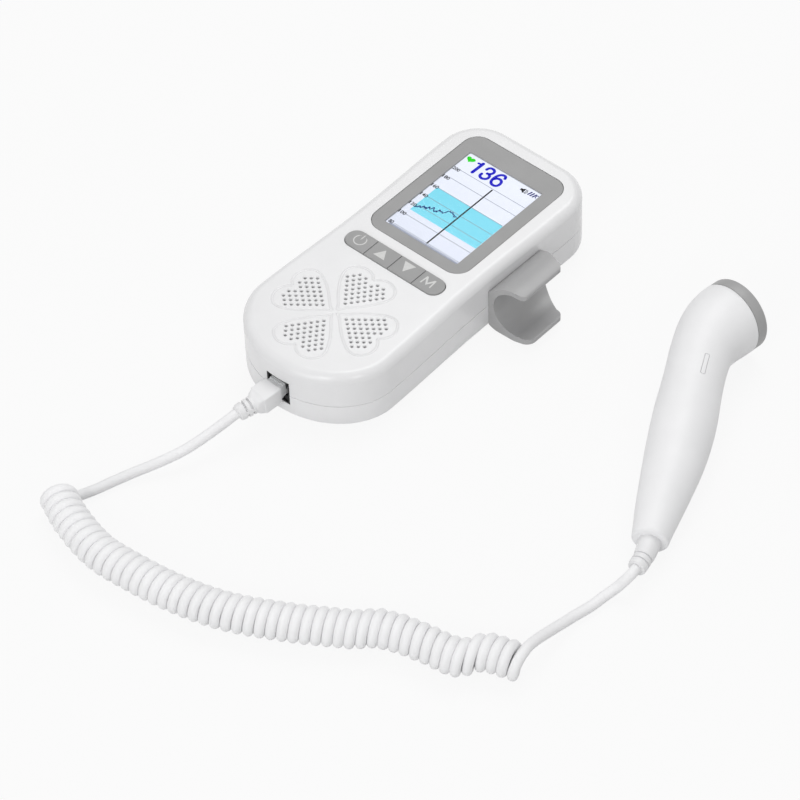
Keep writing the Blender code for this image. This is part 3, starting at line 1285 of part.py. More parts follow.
def build_cord(paints, relief_tip, relief_heading):
    wire = straight_end(curl_points(), CURL_WIRE_DIAMETER)
    tube("curly_cord", wire, CURL_WIRE_DIAMETER, 1, paints["cord"])
    print(f"curly cord: {len(wire)} points, least gap to itself {least_self_gap(wire, CURL_WIRE_DIAMETER):.5f} m")
    heading = (wire[1] - wire[0]).normalized()
    meet = wire[0] - heading * GAP
    build_lead("lead_unit_end", [*LEAD_UNIT_ROUTE, meet - heading * CORD_STRAIGHT, meet], paints)
    heading = (wire[-1] - wire[-2]).normalized()
    meet = wire[-1] + heading * GAP
    leave = relief_tip + relief_heading * GAP
    route = [meet, meet + heading * CORD_STRAIGHT, *LEAD_PROBE_ROUTE]
    build_lead("lead_probe_end", [*route, leave + relief_heading * CORD_STRAIGHT, leave], paints)


def build_lead(name, route, paints):
    """A stretch of cord through its route's points, straight in its first and last runs."""
    path = smooth_path(route, CORD_DIAMETER * CORD_STEP_SHARE)
    tube(name, [Vector(route[0]), *path, Vector(route[-1])], CORD_DIAMETER, 2, paints["cord"])


def main():
    clear_scene()
    paints = make_materials()
    build_jack_cutter()
    build_top_shell(paints)
    build_bottom_shell(paints)
    build_battery_cover(paints)
    build_display(paints)
    build_keys(paints)
    build_board(paints)
    build_speaker(paints)
    build_jack(paints)
    build_plug(paints)
    build_battery(paints)
    build_screws(paints)
    build_clip(paints)
    carrier = bpy.data.objects.new("probe_carrier", None)
    bpy.context.scene.collection.objects.link(carrier)
    carrier.matrix_world = probe_matrix()
    build_probe(paints, carrier)
    tip, heading = relief_path(RELIEF_LENGTH)
    build_cord(paints, probe_matrix() @ tip, (probe_matrix().to_3x3() @ heading).normalized())


main()
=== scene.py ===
"""Looks of the fetal doppler monitor: finer moulded shells, lit display, keys, clear plug, curly cord and probe."""

from math import asin, copysign, cos, degrees, pi, radians, sin, sqrt, tan, tau

import bmesh
import bpy
import numpy as np
from mathutils import Matrix, Vector


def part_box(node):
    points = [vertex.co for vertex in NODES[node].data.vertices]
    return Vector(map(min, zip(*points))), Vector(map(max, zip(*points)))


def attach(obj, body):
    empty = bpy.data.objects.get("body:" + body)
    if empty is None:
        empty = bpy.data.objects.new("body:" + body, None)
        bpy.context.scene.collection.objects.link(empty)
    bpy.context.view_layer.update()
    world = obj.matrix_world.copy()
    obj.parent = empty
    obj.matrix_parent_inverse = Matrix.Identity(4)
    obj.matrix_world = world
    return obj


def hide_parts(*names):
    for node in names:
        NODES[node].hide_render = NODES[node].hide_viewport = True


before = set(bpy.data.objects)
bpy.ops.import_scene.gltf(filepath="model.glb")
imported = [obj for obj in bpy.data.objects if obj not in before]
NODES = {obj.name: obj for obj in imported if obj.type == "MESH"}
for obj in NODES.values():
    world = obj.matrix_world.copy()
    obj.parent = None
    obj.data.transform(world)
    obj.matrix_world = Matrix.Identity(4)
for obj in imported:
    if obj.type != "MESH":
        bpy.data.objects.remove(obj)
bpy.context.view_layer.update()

# Sizes shared with the part's source, in metres
GAP = 0.0003
BODY_LENGTH = 0.1496
BODY_THICKNESS = 0.028
TOP_HALF_WIDTH = 0.0327
END_RADIUS = 0.0333
END_DEPTH = 0.0271
WAIST_DEPTH = 0.0012
CORNER_RADIUS = 0.0175
END_DRAFT = 0.0014
CHAMFER_WIDTH = 0.0034
CHAMFER_DEPTH = 0.0038
CHAMFER_ROUND_SHARE = 0.8
BASE_ROUND = 0.0033
SEAM_HEIGHT = 0.0125
WALL = 0.002
DISPLAY_Y = BODY_LENGTH * 0.2119
DISPLAY_WIDTH = 0.0367
DISPLAY_LENGTH = BODY_LENGTH * 0.3349
BEZEL_WIDTH = 0.0486
BEZEL_LENGTH = BODY_LENGTH * 0.4372
BEZEL_OFFSET = 0.0023
BEZEL_RADIUS = 0.0068
BEZEL_THICKNESS = 0.001
MODULE_WIDTH = 0.042
MODULE_LENGTH = BODY_LENGTH * 0.3877
KEY_Y = BODY_LENGTH * -0.0540
KEY_STRIP_WIDTH = 0.0486
KEY_STRIP_HEIGHT = BODY_LENGTH * 0.0625
KEY_PROUD = 0.0006
KEY_ROUND = 0.00028
CLOVER_Y = BODY_LENGTH * -0.2798
HOLE_DIAMETER = 0.00128
HOLE_START = 0.00592
HOLE_ROW_STEP = 0.001848
HOLE_HALF_PITCH = 0.001496
HOLE_ROWS = ((0,), (1,), (0, 2), (1, 3), (0, 2, 4), (1, 3, 5), (0, 2, 4, 6), (1, 3, 5), (2, 4))
JACK_X = 0.0006
JACK_BOTTOM = 0.0078
JACK_WIDTH = 0.0105
JACK_HEIGHT = 0.0109
JACK_DEPTH = 0.0124
JACK_SETBACK = 0.0008
PLUG_WIDTH = 0.00765
PLUG_HEIGHT = 0.0061
PLUG_BOTTOM = 0.0111
PLUG_INNER = 0.0108
PLUG_OUTER = 0.0030
END_CENTRE_Y = -BODY_LENGTH / 2 + END_DEPTH
CORNER_Y = BODY_LENGTH / 2 - CORNER_RADIUS
END_WALL_Y = END_CENTRE_Y - END_DEPTH * sqrt(1 - (JACK_WIDTH / 2 / END_RADIUS) ** 2)
JACK_FRONT_Y = END_WALL_Y + JACK_SETBACK
PROBE_TAIL = (0.1512, -0.0406, 0.00942)
PROBE_YAW = radians(116.9)
PROBE_PITCH = radians(3.9)
PROBE_ROLL = radians(14.7)
PROBE_BEND = radians(32.6)
PROBE_BEND_RADIUS = 0.0456
PROBE_BOW = 0.001
CAP_RADIUS = 0.01463
CAP_LENGTH = 0.0049
HANDLE_LENGTH = 0.1114
PROBE_STRAIGHT = HANDLE_LENGTH - PROBE_BEND * PROBE_BEND_RADIUS
SLOT_TURN = radians(6.5)
RELIEF_LENGTH = 0.0132
RELIEF_LEAN = 0.0022
HANDLE_RADIUS_SHARES = (
    (0.0, 0.466), (0.053, 0.514), (0.106, 0.574), (0.212, 0.675), (0.319, 0.763), (0.425, 0.816), (0.531, 0.826),
    (0.637, 0.792), (0.726, 0.784), (0.814, 0.817), (0.885, 0.914), (0.947, 0.988), (1.0, 1.008),
)
COVER_THICKNESS = 0.0017
BOOT_BLOCK_HALF_WIDTH = 0.0044
BOOT_BLOCK_HALF_HEIGHT = 0.0040
BOOT_LENGTH = 0.01423
CLIP_START = BODY_LENGTH * 0.0602
CLIP_WIDTH = 0.030
CLIP_CENTRE_X = TOP_HALF_WIDTH + 0.0115
CLIP_CENTRE_Z = 0.0142
CLIP_INNER_RADIUS = 0.0098
CLIP_OUTER_RADIUS = 0.012
CLIP_TIP_ANGLE = radians(66)
CLIP_SHOULDER_ANGLE = radians(125)
CLIP_LIP_ANGLE = radians(285)
CLIP_PAD_TOP = 0.0189
CLIP_PAD_BOTTOM = 0.0030
CLIP_LIP_EDGE = TOP_HALF_WIDTH + 0.0199
CLIP_LIP_LOW = 0.0034
CLIP_LIP_HIGH = 0.0056
CLIP_CORNER = 0.0042
CLIP_UPPER_NEAR_TAPER = 0.0012
CLIP_UPPER_FAR_TAPER = 0.0052
CLIP_LOWER_NEAR_TAPER = 0.0004
CLIP_LOWER_FAR_TAPER = 0.0092
CLIP_SCREW_Z = 0.0077
CLIP_SCREW_YS = (CLIP_START + 0.0085, CLIP_START + CLIP_WIDTH - 0.0085)
PILOT_RADIUS = 0.0014
CORD_DIAMETER = 0.0036
CURL_WIRE_DIAMETER = 0.0031
CURL_RADIUS = 0.0052
CURL_TURNS = 48
CURL_JOG = 0.0047
CURL_JOG_SHARES = (
    (0.690, 0.0), (0.732, -0.45), (0.776, -0.25), (0.825, 0.28), (0.869, 0.87),
    (0.895, 1.0), (0.910, 0.62), (0.925, 0.06), (0.945, -0.12), (0.980, 0.0),
)
CURL_EXIT_SPREAD = 0.0006
CURL_EXIT_DROP = 0.0012
CORD_STRAIGHT = 0.0036
LEAD_UNIT_ROUTE = (
    (-0.00275, -0.0933, 0.0125), (-0.00390, -0.0993, 0.0112), (-0.00560, -0.1073, 0.0095),
    (-0.00860, -0.1158, 0.0069), (-0.01300, -0.1246, 0.0046), (-0.01780, -0.1333, 0.0028),
    (-0.02130, -0.1413, 0.0019), (-0.02360, -0.1486, 0.0019),
)
LEAD_PROBE_ROUTE = (
    (0.15025, -0.0976, 0.0072), (0.14950, -0.0906, 0.0050), (0.14945, -0.0802, 0.0028),
    (0.15060, -0.0727, 0.0020), (0.15150, -0.0666, 0.0024), (0.15315, -0.0613, 0.0040),
)
CURL_ROUTE = (
    (-0.0284, -0.1621), (-0.0155, -0.1673), (0.0021, -0.1711), (0.0196, -0.1700), (0.0390, -0.1668),
    (0.0579, -0.1608), (0.0787, -0.1496), (0.0982, -0.1371), (0.1180, -0.1261), (0.1340, -0.1180),
    (0.1504, -0.1112),
)

# Sizes of the finer pieces
VISUAL_CORD = 0.00406
VISUAL_GAP = 0.00006
HAIR = 0.00005
LEAD_STEP = 0.0016
BEYOND = 0.002  # how far a cutter reaches past what it cuts
SMOOTH_ANGLE = radians(40)

# Camera
CAMERA_LENS = 157.07
CAMERA_PLACE = (0.64663, -0.68640, 0.96431)
CAMERA_RIGHT = (0.7447, 0.6668, -0.0291)
CAMERA_VIEW = (-0.4687, 0.4914, -0.7340)


def add_object(name, data):
    obj = bpy.data.objects.new(name, data)
    bpy.context.scene.collection.objects.link(obj)
    return obj


def make_camera():
    camera = bpy.data.cameras.new("camera")
    camera.sensor_width, camera.lens, camera.clip_end = 36, CAMERA_LENS, 10
    holder = add_object("camera", camera)
    forward = Vector(CAMERA_VIEW).normalized()
    up = Vector(CAMERA_RIGHT).normalized().cross(forward).normalized()
    turn = Matrix((forward.cross(up), up, -forward)).transposed()
    holder.matrix_world = Matrix.Translation(CAMERA_PLACE) @ turn.to_4x4()
    bpy.context.scene.camera = holder


# Materials

class Paint:
    """A material under construction: a Principled shader and the nodes that feed it."""

    def __init__(self, name):
        self.material = bpy.data.materials.new(name)
        self.material.use_nodes = True
        self.tree = self.material.node_tree
        self.shader = self.tree.nodes["Principled BSDF"]
        self.coordinates = self.add("ShaderNodeTexCoord").outputs["Object"]

    def add(self, kind, operation=None, **values):
        node = self.tree.nodes.new(kind)
        if operation:
            node.operation = operation
        self.set(node, **values)
        return node

    def set(self, node=None, **values):
        """Sets inputs of a node, or of the shader; their names have _ for a space."""
        for name, value in values.items():
            (node or self.shader).inputs[name.replace("_", " ")].default_value = value

    def link(self, start, end):
        self.tree.links.new(start, end)

    def to(self, output, name):
        self.link(output, self.shader.inputs[name])

    def noise(self, scale, detail, roughness=0.5, stretch=None):
        node = self.add("ShaderNodeTexNoise", Scale=scale, Detail=detail, Roughness=roughness)
        source = self.coordinates
        if stretch:
            mapping = self.add("ShaderNodeMapping", Scale=stretch)
            self.link(source, mapping.inputs["Vector"])
            source = mapping.outputs["Vector"]
        self.link(source, node.inputs["Vector"])
        return node.outputs["Fac"]

    def spread(self, source, low, high, start=0.3, end=0.7):
        node = self.add("ShaderNodeMapRange", From_Min=start, From_Max=end, To_Min=low, To_Max=high)
        self.link(source, node.inputs["Value"])
        return node.outputs["Result"]

    def ramp(self, source, stops):
        node = self.add("ShaderNodeValToRGB")
        for element, (place, colour) in zip(node.color_ramp.elements, stops):
            element.position = place
            element.color = (*colour, 1.0)
        self.link(source, node.inputs["Fac"])
        return node.outputs["Color"]

    def bump(self, source, distance, strength, normal=None):
        node = self.add("ShaderNodeBump", Distance=distance, Strength=strength)
        self.link(source, node.inputs["Height"])
        if normal is not None:
            self.link(normal, node.inputs["Normal"])
        return node.outputs["Normal"]

    def mottle(self, source, dark, light, edge=0.3, name="Base Color"):
        self.to(self.ramp(source, ((edge, dark), (1 - edge, light))), name)

    def gloss(self, source, rough):
        self.to(self.spread(source, *rough), "Roughness")


def plastic(name, light, dark, rough, grain=0.00001, wave=0.00002, specular=0.5, depth=0.0):
    """Moulded plastic: faint blotches of tone, uneven gloss, a fine grain and the slow waves of a moulding."""
    paint = Paint(name)
    paint.mottle(paint.noise(55, 4, 0.55), dark, light, 0.35)
    paint.gloss(paint.noise(160, 3), rough)
    slow = paint.bump(paint.noise(120, 2), wave, 0.6)
    paint.to(paint.bump(paint.noise(2600, 2), grain, 0.8, slow), "Normal")
    paint.set(Specular_IOR_Level=specular, Subsurface_Weight=depth, Subsurface_Scale=0.0014,
              Subsurface_Radius=(1, 1, 1))
    return paint.material


def flat(name, light, dark, rough, emission=None, strength=0.0):
    """Printed ink or a lit display colour, with a slight mottle."""
    paint = Paint(name)
    mottle = paint.noise(900, 2)
    paint.mottle(mottle, dark, light)
    paint.gloss(paint.noise(300, 2), rough)
    paint.set(Specular_IOR_Level=0.15)
    if emission:
        paint.mottle(mottle, *emission, name="Emission Color")
        paint.set(Emission_Strength=strength)
    return paint.material


def metal(name, light, dark, rough):
    """Bright metal with a slight mottle and uneven gloss."""
    paint = Paint(name)
    paint.mottle(paint.noise(700, 4, 0.6), dark, light)
    paint.gloss(paint.noise(900, 3, 0.6), rough)
    paint.to(paint.bump(paint.noise(1800, 2), 0.00001, 0.6), "Normal")
    paint.set(Metallic=1.0)
    return paint.material


def clear(name, tint, rough, transmission):
    """Clear moulded plastic with faint flow lines."""
    paint = Paint(name)
    flow = paint.noise(500, 3, 0.5, (1, 0.25, 1))
    paint.mottle(flow, tuple(value * 0.94 for value in tint), tint, 0.35)
    paint.gloss(paint.noise(400, 2), rough)
    paint.to(paint.bump(flow, 0.00001, 0.5), "Normal")
    paint.set(Transmission_Weight=transmission, IOR=1.49)
    return paint.material


def lens_paint():
    """The clear window over the display: almost nothing but its gloss."""
    paint = Paint("display_window_plastic")
    paint.mottle(paint.noise(300, 2), (0.012, 0.013, 0.015), (0.02, 0.021, 0.023))
    paint.gloss(paint.noise(200, 2), (0.03, 0.07))
    paint.set(Alpha=0.06)
    return paint.material


def board_paint():
    """Green circuit board with its copper tracks showing faintly."""
    paint = Paint("circuit_board_green")
    tracks = paint.add("ShaderNodeTexBrick", Scale=420, Mortar_Size=0.03, Color1=(0.02, 0.17, 0.07, 1),
                       Color2=(0.03, 0.22, 0.09, 1), Mortar=(0.06, 0.30, 0.12, 1))
    paint.link(paint.coordinates, tracks.inputs["Vector"])
    paint.to(tracks.outputs["Color"], "Base Color")
    paint.gloss(paint.noise(300, 3), (0.35, 0.5))
    paint.to(paint.bump(tracks.outputs["Fac"], 0.00004, 0.7), "Normal")
    return paint.material


def tone(*levels):
    """Linear values of a colour given as 0 to 255 on screen."""
    shares = [level / 255 for level in levels]
    return tuple(share / 12.92 if share <= 0.04045 else ((share + 0.055) / 1.055) ** 2.4 for share in shares)


def grey(level, cool=1):
    """A grey by its level on screen, a touch blue."""
    return tone(level, level, level + cool)


def make_paints():
    return {
        "white": plastic("white_shell_plastic", grey(233), grey(230), (0.22, 0.26), 0.000003, 0.000003),
        "probe": plastic("probe_plastic", grey(238), grey(235), (0.40, 0.47), 0.000005, 0.000005, 0.3),
        "grey": plastic("grey_trim_plastic", grey(156, 0), grey(151, 0), (0.42, 0.50), 0.00002),
        "clip": plastic("clip_plastic", grey(171, 0), grey(165), (0.38, 0.46)),
        "cap": plastic("cap_plastic", grey(167, 0), grey(161, 0), (0.40, 0.50)),
        "cord": plastic("cord_jacket_plastic", grey(241), grey(238), (0.42, 0.52), 0.000008, 0.000008, 0.2, 0.2),
        "boot": plastic("boot_rubber", grey(233), grey(229), (0.38, 0.46), 0.00001, 0.000008, 0.3, 0.15),
        "black": plastic("black_plastic", (0.016, 0.016, 0.017), (0.010, 0.010, 0.011), (0.4, 0.55), specular=0.2),
        "steel": metal("screw_steel", (0.62, 0.62, 0.64), (0.5, 0.5, 0.52), (0.22, 0.38)),
        "gold": metal("gold_plate", (0.83, 0.62, 0.26), (0.72, 0.52, 0.2), (0.18, 0.3)),
        "clear": clear("clear_plug_plastic", (0.94, 0.95, 0.96), (0.14, 0.22), 0.06),
        "lens": lens_paint(),
        "cone": plastic("speaker_cone_paper", (0.05, 0.05, 0.052), (0.03, 0.03, 0.031), (0.85, 0.95), 0.00004),
        "board": board_paint(),
        "cell": plastic("cell_jacket", (0.30, 0.32, 0.36), (0.25, 0.27, 0.3), (0.3, 0.4)),
        "crystal": plastic("crystal_ceramic", (0.75, 0.72, 0.62), (0.68, 0.65, 0.55), (0.35, 0.5)),
        "foam": plastic("backing_foam", (0.13, 0.13, 0.14), (0.08, 0.08, 0.09), (0.9, 1.0), 0.0001),
        "legend": flat("key_legend_ink", tone(212, 212, 211), tone(205, 205, 204), (0.4, 0.5)),
    }


# Mesh helpers

def arc(centre, radius, start, end, steps):
    angles = np.linspace(start, end, steps + 1)
    return [(centre[0] + radius * cos(a), centre[1] + radius * sin(a)) for a in angles]


def circle(centre, radius, sides):
    return arc(centre, radius, 0, tau, sides)[:-1]


def rectangle(centre, width, length, radius, steps):
    """Counter-clockwise outline with rounded corners."""
    points = []
    for index, (sx, sy) in enumerate(((1, 1), (-1, 1), (-1, -1), (1, -1))):
        corner = (centre[0] + sx * (width / 2 - radius), centre[1] + sy * (length / 2 - radius))
        start = index * pi / 2
        points += arc(corner, radius, start, start + pi / 2, steps)
    return points


def flat_ring(outline, height):
    return [(x, y, height) for x, y in outline]


def add_rings(mesh_data, rings, closed=False):
    rows = [[mesh_data.verts.new(point) for point in ring] for ring in rings]
    pairs = list(zip(rows, rows[1:]))
    if closed:
        pairs.append((rows[-1], rows[0]))
    for lower, upper in pairs:
        for index in range(len(lower)):
            after = (index + 1) % len(lower)
            mesh_data.faces.new((lower[index], lower[after], upper[after], upper[index]))
    if not closed:
        mesh_data.faces.new(rows[0][::-1])
        mesh_data.faces.new(rows[-1])


def shade_by_angle(mesh):
    mesh.shade_smooth()
    mesh.set_sharp_from_angle(angle=SMOOTH_ANGLE)


def finish_mesh(name, mesh_data, paint):
    bmesh.ops.recalc_face_normals(mesh_data, faces=mesh_data.faces)
    mesh = bpy.data.meshes.new(name)
    mesh_data.to_mesh(mesh)
    mesh_data.free()
    shade_by_angle(mesh)
    if paint is not None:
        mesh.materials.append(paint)
    return add_object(name, mesh)


def lofts(name, stacks, paint=None, closed=False):
    """One mesh from stacks of rings; a closed stack joins its last ring to its first."""
    mesh_data = bmesh.new()
    for rings in stacks:
        add_rings(mesh_data, rings, closed)
    return finish_mesh(name, mesh_data, paint)


def loft(name, rings, paint=None, closed=False):
    return lofts(name, [rings], paint, closed)


def fit(piece, slot, body, *nodes):
    """Gives a piece its body, and lets it stand for the solids named."""
    if nodes:
        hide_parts(*nodes)
    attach(piece, body)


def quarter(radius, angles=(0, 30, 60, 90)):
    """Steps round a rounded edge: how far each lies from the two faces that meet there."""
    turns = [radians(angle) for angle in angles]
    return [(radius * (1 - cos(turn)), radius * (1 - sin(turn))) for turn in turns]


def cut(target, *cutters):
    """Takes the cutters out of a mesh for good, and removes them."""
    for cutter in cutters:
        modifier = target.modifiers.new("cut", "BOOLEAN")
        modifier.operation = "DIFFERENCE"
        modifier.object = cutter
    graph = bpy.context.evaluated_depsgraph_get()
    mesh = bpy.data.meshes.new_from_object(target.evaluated_get(graph))
    target.modifiers.clear()
    target.data = mesh
    shade_by_angle(mesh)
    for cutter in cutters:
        bpy.data.objects.remove(cutter)


def even_shading(obj, keep_sharp, weight):
    weighted = obj.modifiers.new("even_shading", "WEIGHTED_NORMAL")
    weighted.keep_sharp = keep_sharp
    weighted.weight = weight


def soften(obj, width, segments, angle=30):
    """Rounds an object's edges and keeps its flat faces flat in shading."""
    bevel = obj.modifiers.new("rounded_edges", "BEVEL")
    bevel.width = width
    bevel.segments = segments
    bevel.limit_method = "ANGLE"
    bevel.angle_limit = radians(angle)
    bevel.harden_normals = False
    even_shading(obj, False, 80)


def repaint(name, paint):
    node = NODES[name]
    for material_slot in node.material_slots:
        material_slot.material = paint
    if not node.material_slots:
        node.data.materials.append(paint)


def smooth_path(points, step):
    """Points at an even step along a Catmull-Rom curve; the first and last given ones only set its end slopes."""
    places = [Vector(point) for point in points]
    dense = []
    shares = np.linspace(0, 1, 24, endpoint=False)
    for before, start, end, after in zip(places, places[1:], places[2:], places[3:]):
        for t in shares:
            a = 2 * start
            b = end - before
            c = 2 * before - 5 * start + 4 * end - after
            d = 3 * start - before - 3 * end + after
            dense.append((a + b * t + c * t**2 + d * t**3) / 2)
    dense.append(places[-2])
    along = np.array([0.0, *np.cumsum([(b - a).length for a, b in zip(dense, dense[1:])])])
    count = max(2, round(along[-1] / step))
    wanted = np.linspace(0, along[-1], count + 1)
    columns = np.array(dense).T
    return [Vector(place) for place in zip(*(np.interp(wanted, along, column) for column in columns))]


def path_through(points, step):
    """A smooth path through every point, with its end slopes carried on."""
    places = [Vector(point) for point in points]
    return smooth_path([2 * places[0] - places[1], *places, 2 * places[-1] - places[-2]], step)


def headings(points):
    """The direction of a line at each of its points."""
    ends = [points[0], *points, points[-1]]
    return [(Vector(after) - Vector(before)).normalized() for before, after in zip(ends, ends[2:])]


def bent(start, control, end, t):
    """A place on a quadratic curve."""
    return start * (1 - t) ** 2 + control * 2 * t * (1 - t) + end * t**2


# Body shells

def side_x(y, inset=0.0):
    share = (y - END_CENTRE_Y) / (CORNER_Y - END_CENTRE_Y)
    waist = WAIST_DEPTH * (1 - cos(tau * share)) / 2
    return END_RADIUS + (TOP_HALF_WIDTH - END_RADIUS) * share - waist - inset


def body_outline(inset=0.0, draft_share=0.0, end_steps=48, side_steps=18, corner_steps=16):
    """Plan outline of the body, counter-clockwise; the draft draws the rounded end in."""
    draft = END_DRAFT / 2 * draft_share
    width, depth = END_RADIUS - draft - inset, END_DEPTH - draft - inset
    turns = np.linspace(-pi / 2, 0, end_steps + 1)[:-1]
    right = [(width * cos(turn), END_CENTRE_Y + draft + depth * sin(turn)) for turn in turns]
    for share in np.linspace(0, 1, side_steps + 1)[:-1]:
        y = END_CENTRE_Y + draft + (CORNER_Y - END_CENTRE_Y - draft) * share
        right.append((side_x(y, inset) - draft * (1 - share), y))
    corner = (TOP_HALF_WIDTH - CORNER_RADIUS, CORNER_Y)
    right += arc(corner, CORNER_RADIUS - inset, 0, pi / 2, corner_steps)
    left = [(-x, y) for x, y in reversed(right[1:])]
    return right + left


def body_ring(inset, height, draft_share=0.0):
    return flat_ring(body_outline(inset, draft_share), height)


def in_clover(heart, x, y):
    """A place in one of the four hearts, turned about the clover's middle."""
    cosine, sine = cos(heart * tau / 4), sin(heart * tau / 4)
    return (x * cosine - y * sine, CLOVER_Y + x * sine + y * cosine)


def grille_places():
    """The middle of every hole of the four hearts."""
    places = []
    for heart in range(4):
        for row, offsets in enumerate(HOLE_ROWS):
            for offset in offsets:
                for side in (1, -1) if offset else (1,):
                    places.append(in_clover(heart, side * offset * HOLE_HALF_PITCH, HOLE_START + row * HOLE_ROW_STEP))
    return places


def prism(outline, low, high):
    return [flat_ring(outline, low), flat_ring(outline, high)]


def box(low, high):
    outline = [(low[0], low[1]), (high[0], low[1]), (high[0], high[1]), (low[0], high[1])]
    return prism(outline, low[2], high[2])


def build_top_shell(paints):
    low = SEAM_HEIGHT - GAP / 2 + VISUAL_GAP
    seam_edge = ((0.00022, 0.0), (0.00006, 0.00008), (0.0, 0.00025))
    rings = [body_ring(inset, low + up) for inset, up in seam_edge]
    for angle in range(0, 91, 9):
        turn = radians(angle)
        even = (1 - CHAMFER_ROUND_SHARE) * angle / 90
        inset = CHAMFER_WIDTH * (CHAMFER_ROUND_SHARE * (1 - cos(turn)) + even)
        rise = CHAMFER_DEPTH * (CHAMFER_ROUND_SHARE * sin(turn) + even)
        rings.append(body_ring(inset, BODY_THICKNESS - CHAMFER_DEPTH + rise))
    rings.append(body_ring(CHAMFER_WIDTH + 0.0005, BODY_THICKNESS))
    inner = [body_ring(WALL, low), body_ring(WALL, BODY_THICKNESS - CHAMFER_DEPTH - WALL / 2)]
    inner.append(body_ring(WALL + CHAMFER_WIDTH / 2, BODY_THICKNESS - WALL))
    shell = loft("top_shell_moulding", rings[::-1] + inner, paints["white"])
    above, under = BODY_THICKNESS + BEYOND, BODY_THICKNESS - WALL - BEYOND
    bezel_y = DISPLAY_Y + BEZEL_OFFSET
    pocket = rectangle((0, bezel_y), BEZEL_WIDTH + GAP, BEZEL_LENGTH + GAP, BEZEL_RADIUS + GAP / 2, 16)
    window = rectangle((0, DISPLAY_Y), MODULE_WIDTH + 2 * GAP, MODULE_LENGTH + 2 * GAP, 0.0005, 2)
    slot_radius = KEY_STRIP_HEIGHT / 2 - GAP
    slot = rectangle((0, KEY_Y), KEY_STRIP_WIDTH - GAP / 2, KEY_STRIP_HEIGHT - GAP / 2, slot_radius - GAP / 4, 16)
    side_gap, top_gap = 0.00032, 0.0004
    jack = (JACK_WIDTH / 2 + side_gap, JACK_BOTTOM - VISUAL_GAP, JACK_BOTTOM + JACK_HEIGHT + top_gap)
    cutters = [
        loft("cut_pocket", prism(pocket, BODY_THICKNESS - BEZEL_THICKNESS - GAP, above)),
        loft("cut_window", prism(window, under, BODY_THICKNESS)),
        loft("cut_keys", prism(slot, under, above)),
        jack_cutter(jack),
        lofts("cut_holes", [hole_rings(place, under, above) for place in grille_places()]),
        heart_cutter(1),
        heart_cutter(-1),
    ]
    cut(shell, *cutters)
    even_shading(shell, True, 90)
    fit(shell, "white_shell", "monitor", "top_shell")
    build_seam(paints, low - VISUAL_GAP, jack)


def jack_cutter(jack):
    """Cutter for the jack's opening in the end wall, from its half width, bottom and top."""
    return loft("cut_jack", box((JACK_X - jack[0], -BODY_LENGTH / 2 - 0.01, jack[1]),
                                (JACK_X + jack[0], END_WALL_Y + JACK_DEPTH, jack[2])))


def hole_rings(place, under, above):
    """Cutter for one grille hole, opened out a little at the top face."""
    radius, flare = HOLE_DIAMETER / 2 - 0.00004, 0.0003
    rings = [flat_ring(circle(place, radius, 16), height) for height in (under, BODY_THICKNESS - flare)]
    return rings + [flat_ring(circle(place, radius + flare + above - BODY_THICKNESS, 16), above)]


def build_seam(paints, top, jack):
    """The lower half's outer skin: it stands a hair proud of the upper half, so the seam shows as a fine ledge."""
    proud, edge, inset = HAIR, 0.00022, 0.0007
    low = COVER_THICKNESS + 1.5 * GAP
    base_inset = BASE_ROUND * (1 - cos(asin(1 - low / BASE_ROUND)))
    rings = [skin_ring(base_inset - proud, low)]
    rings += [skin_ring(aside - proud, height) for aside, height in quarter(BASE_ROUND, range(50, -1, -10))
              if height > low]
    rings.append(skin_ring(-proud, BASE_ROUND + 0.001))
    rings += [skin_ring(aside - proud, top - down) for aside, down in quarter(edge)]
    rings += [skin_ring(inset, top), skin_ring(inset + base_inset, low)]
    skin = loft("bottom_shell_skin", rings, paints["white"], closed=True)
    cut(skin, jack_cutter(jack))
    fit(skin, "white_shell", "monitor")


def skin_ring(inset, height):
    return body_ring(inset, height, max(0.0, 1 - height / SEAM_HEIGHT) if height < BASE_ROUND else 0.0)


HEART_RIM = (
    (0.0, 0.0012), (0.0012, 0.0033), (0.0030, 0.0053), (0.0048, 0.0073), (0.0066, 0.0094), (0.0084, 0.0118),
    (0.0099, 0.0142), (0.0111, 0.0165), (0.01165, 0.0187), (0.01145, 0.0207), (0.0103, 0.0225), (0.0086, 0.0238),
    (0.0067, 0.0245), (0.0049, 0.0246), (0.0031, 0.0241), (0.0014, 0.0231), (0.0, 0.0216),
)


def heart_cutter(hand):
    """The shallow groove along one side of each heart of the speaker grille."""
    half_width, depth, over = 0.00078, 0.00042, 0.0004
    section = [(half_width * share, 0.00001 - depth * (1 + cos(pi * share)) / 2)
               for share in np.linspace(-1, 1, 13)]
    section += [(half_width, over), (-half_width, over)]
    line = path_through([(*place, 0) for place in HEART_RIM], 0.0005)
    stacks = []
    for heart in range(4):
        rings = []
        for place, heading in zip(line, headings(line)):
            ring = []
            for across, up in section:
                x, y = hand * (place.x + heading.y * across), place.y - heading.x * across
                ring.append((*in_clover(heart, x, y), BODY_THICKNESS + up))
            rings.append(ring)
        stacks.append(rings)
    return lofts("cut_hearts", stacks)


# Display

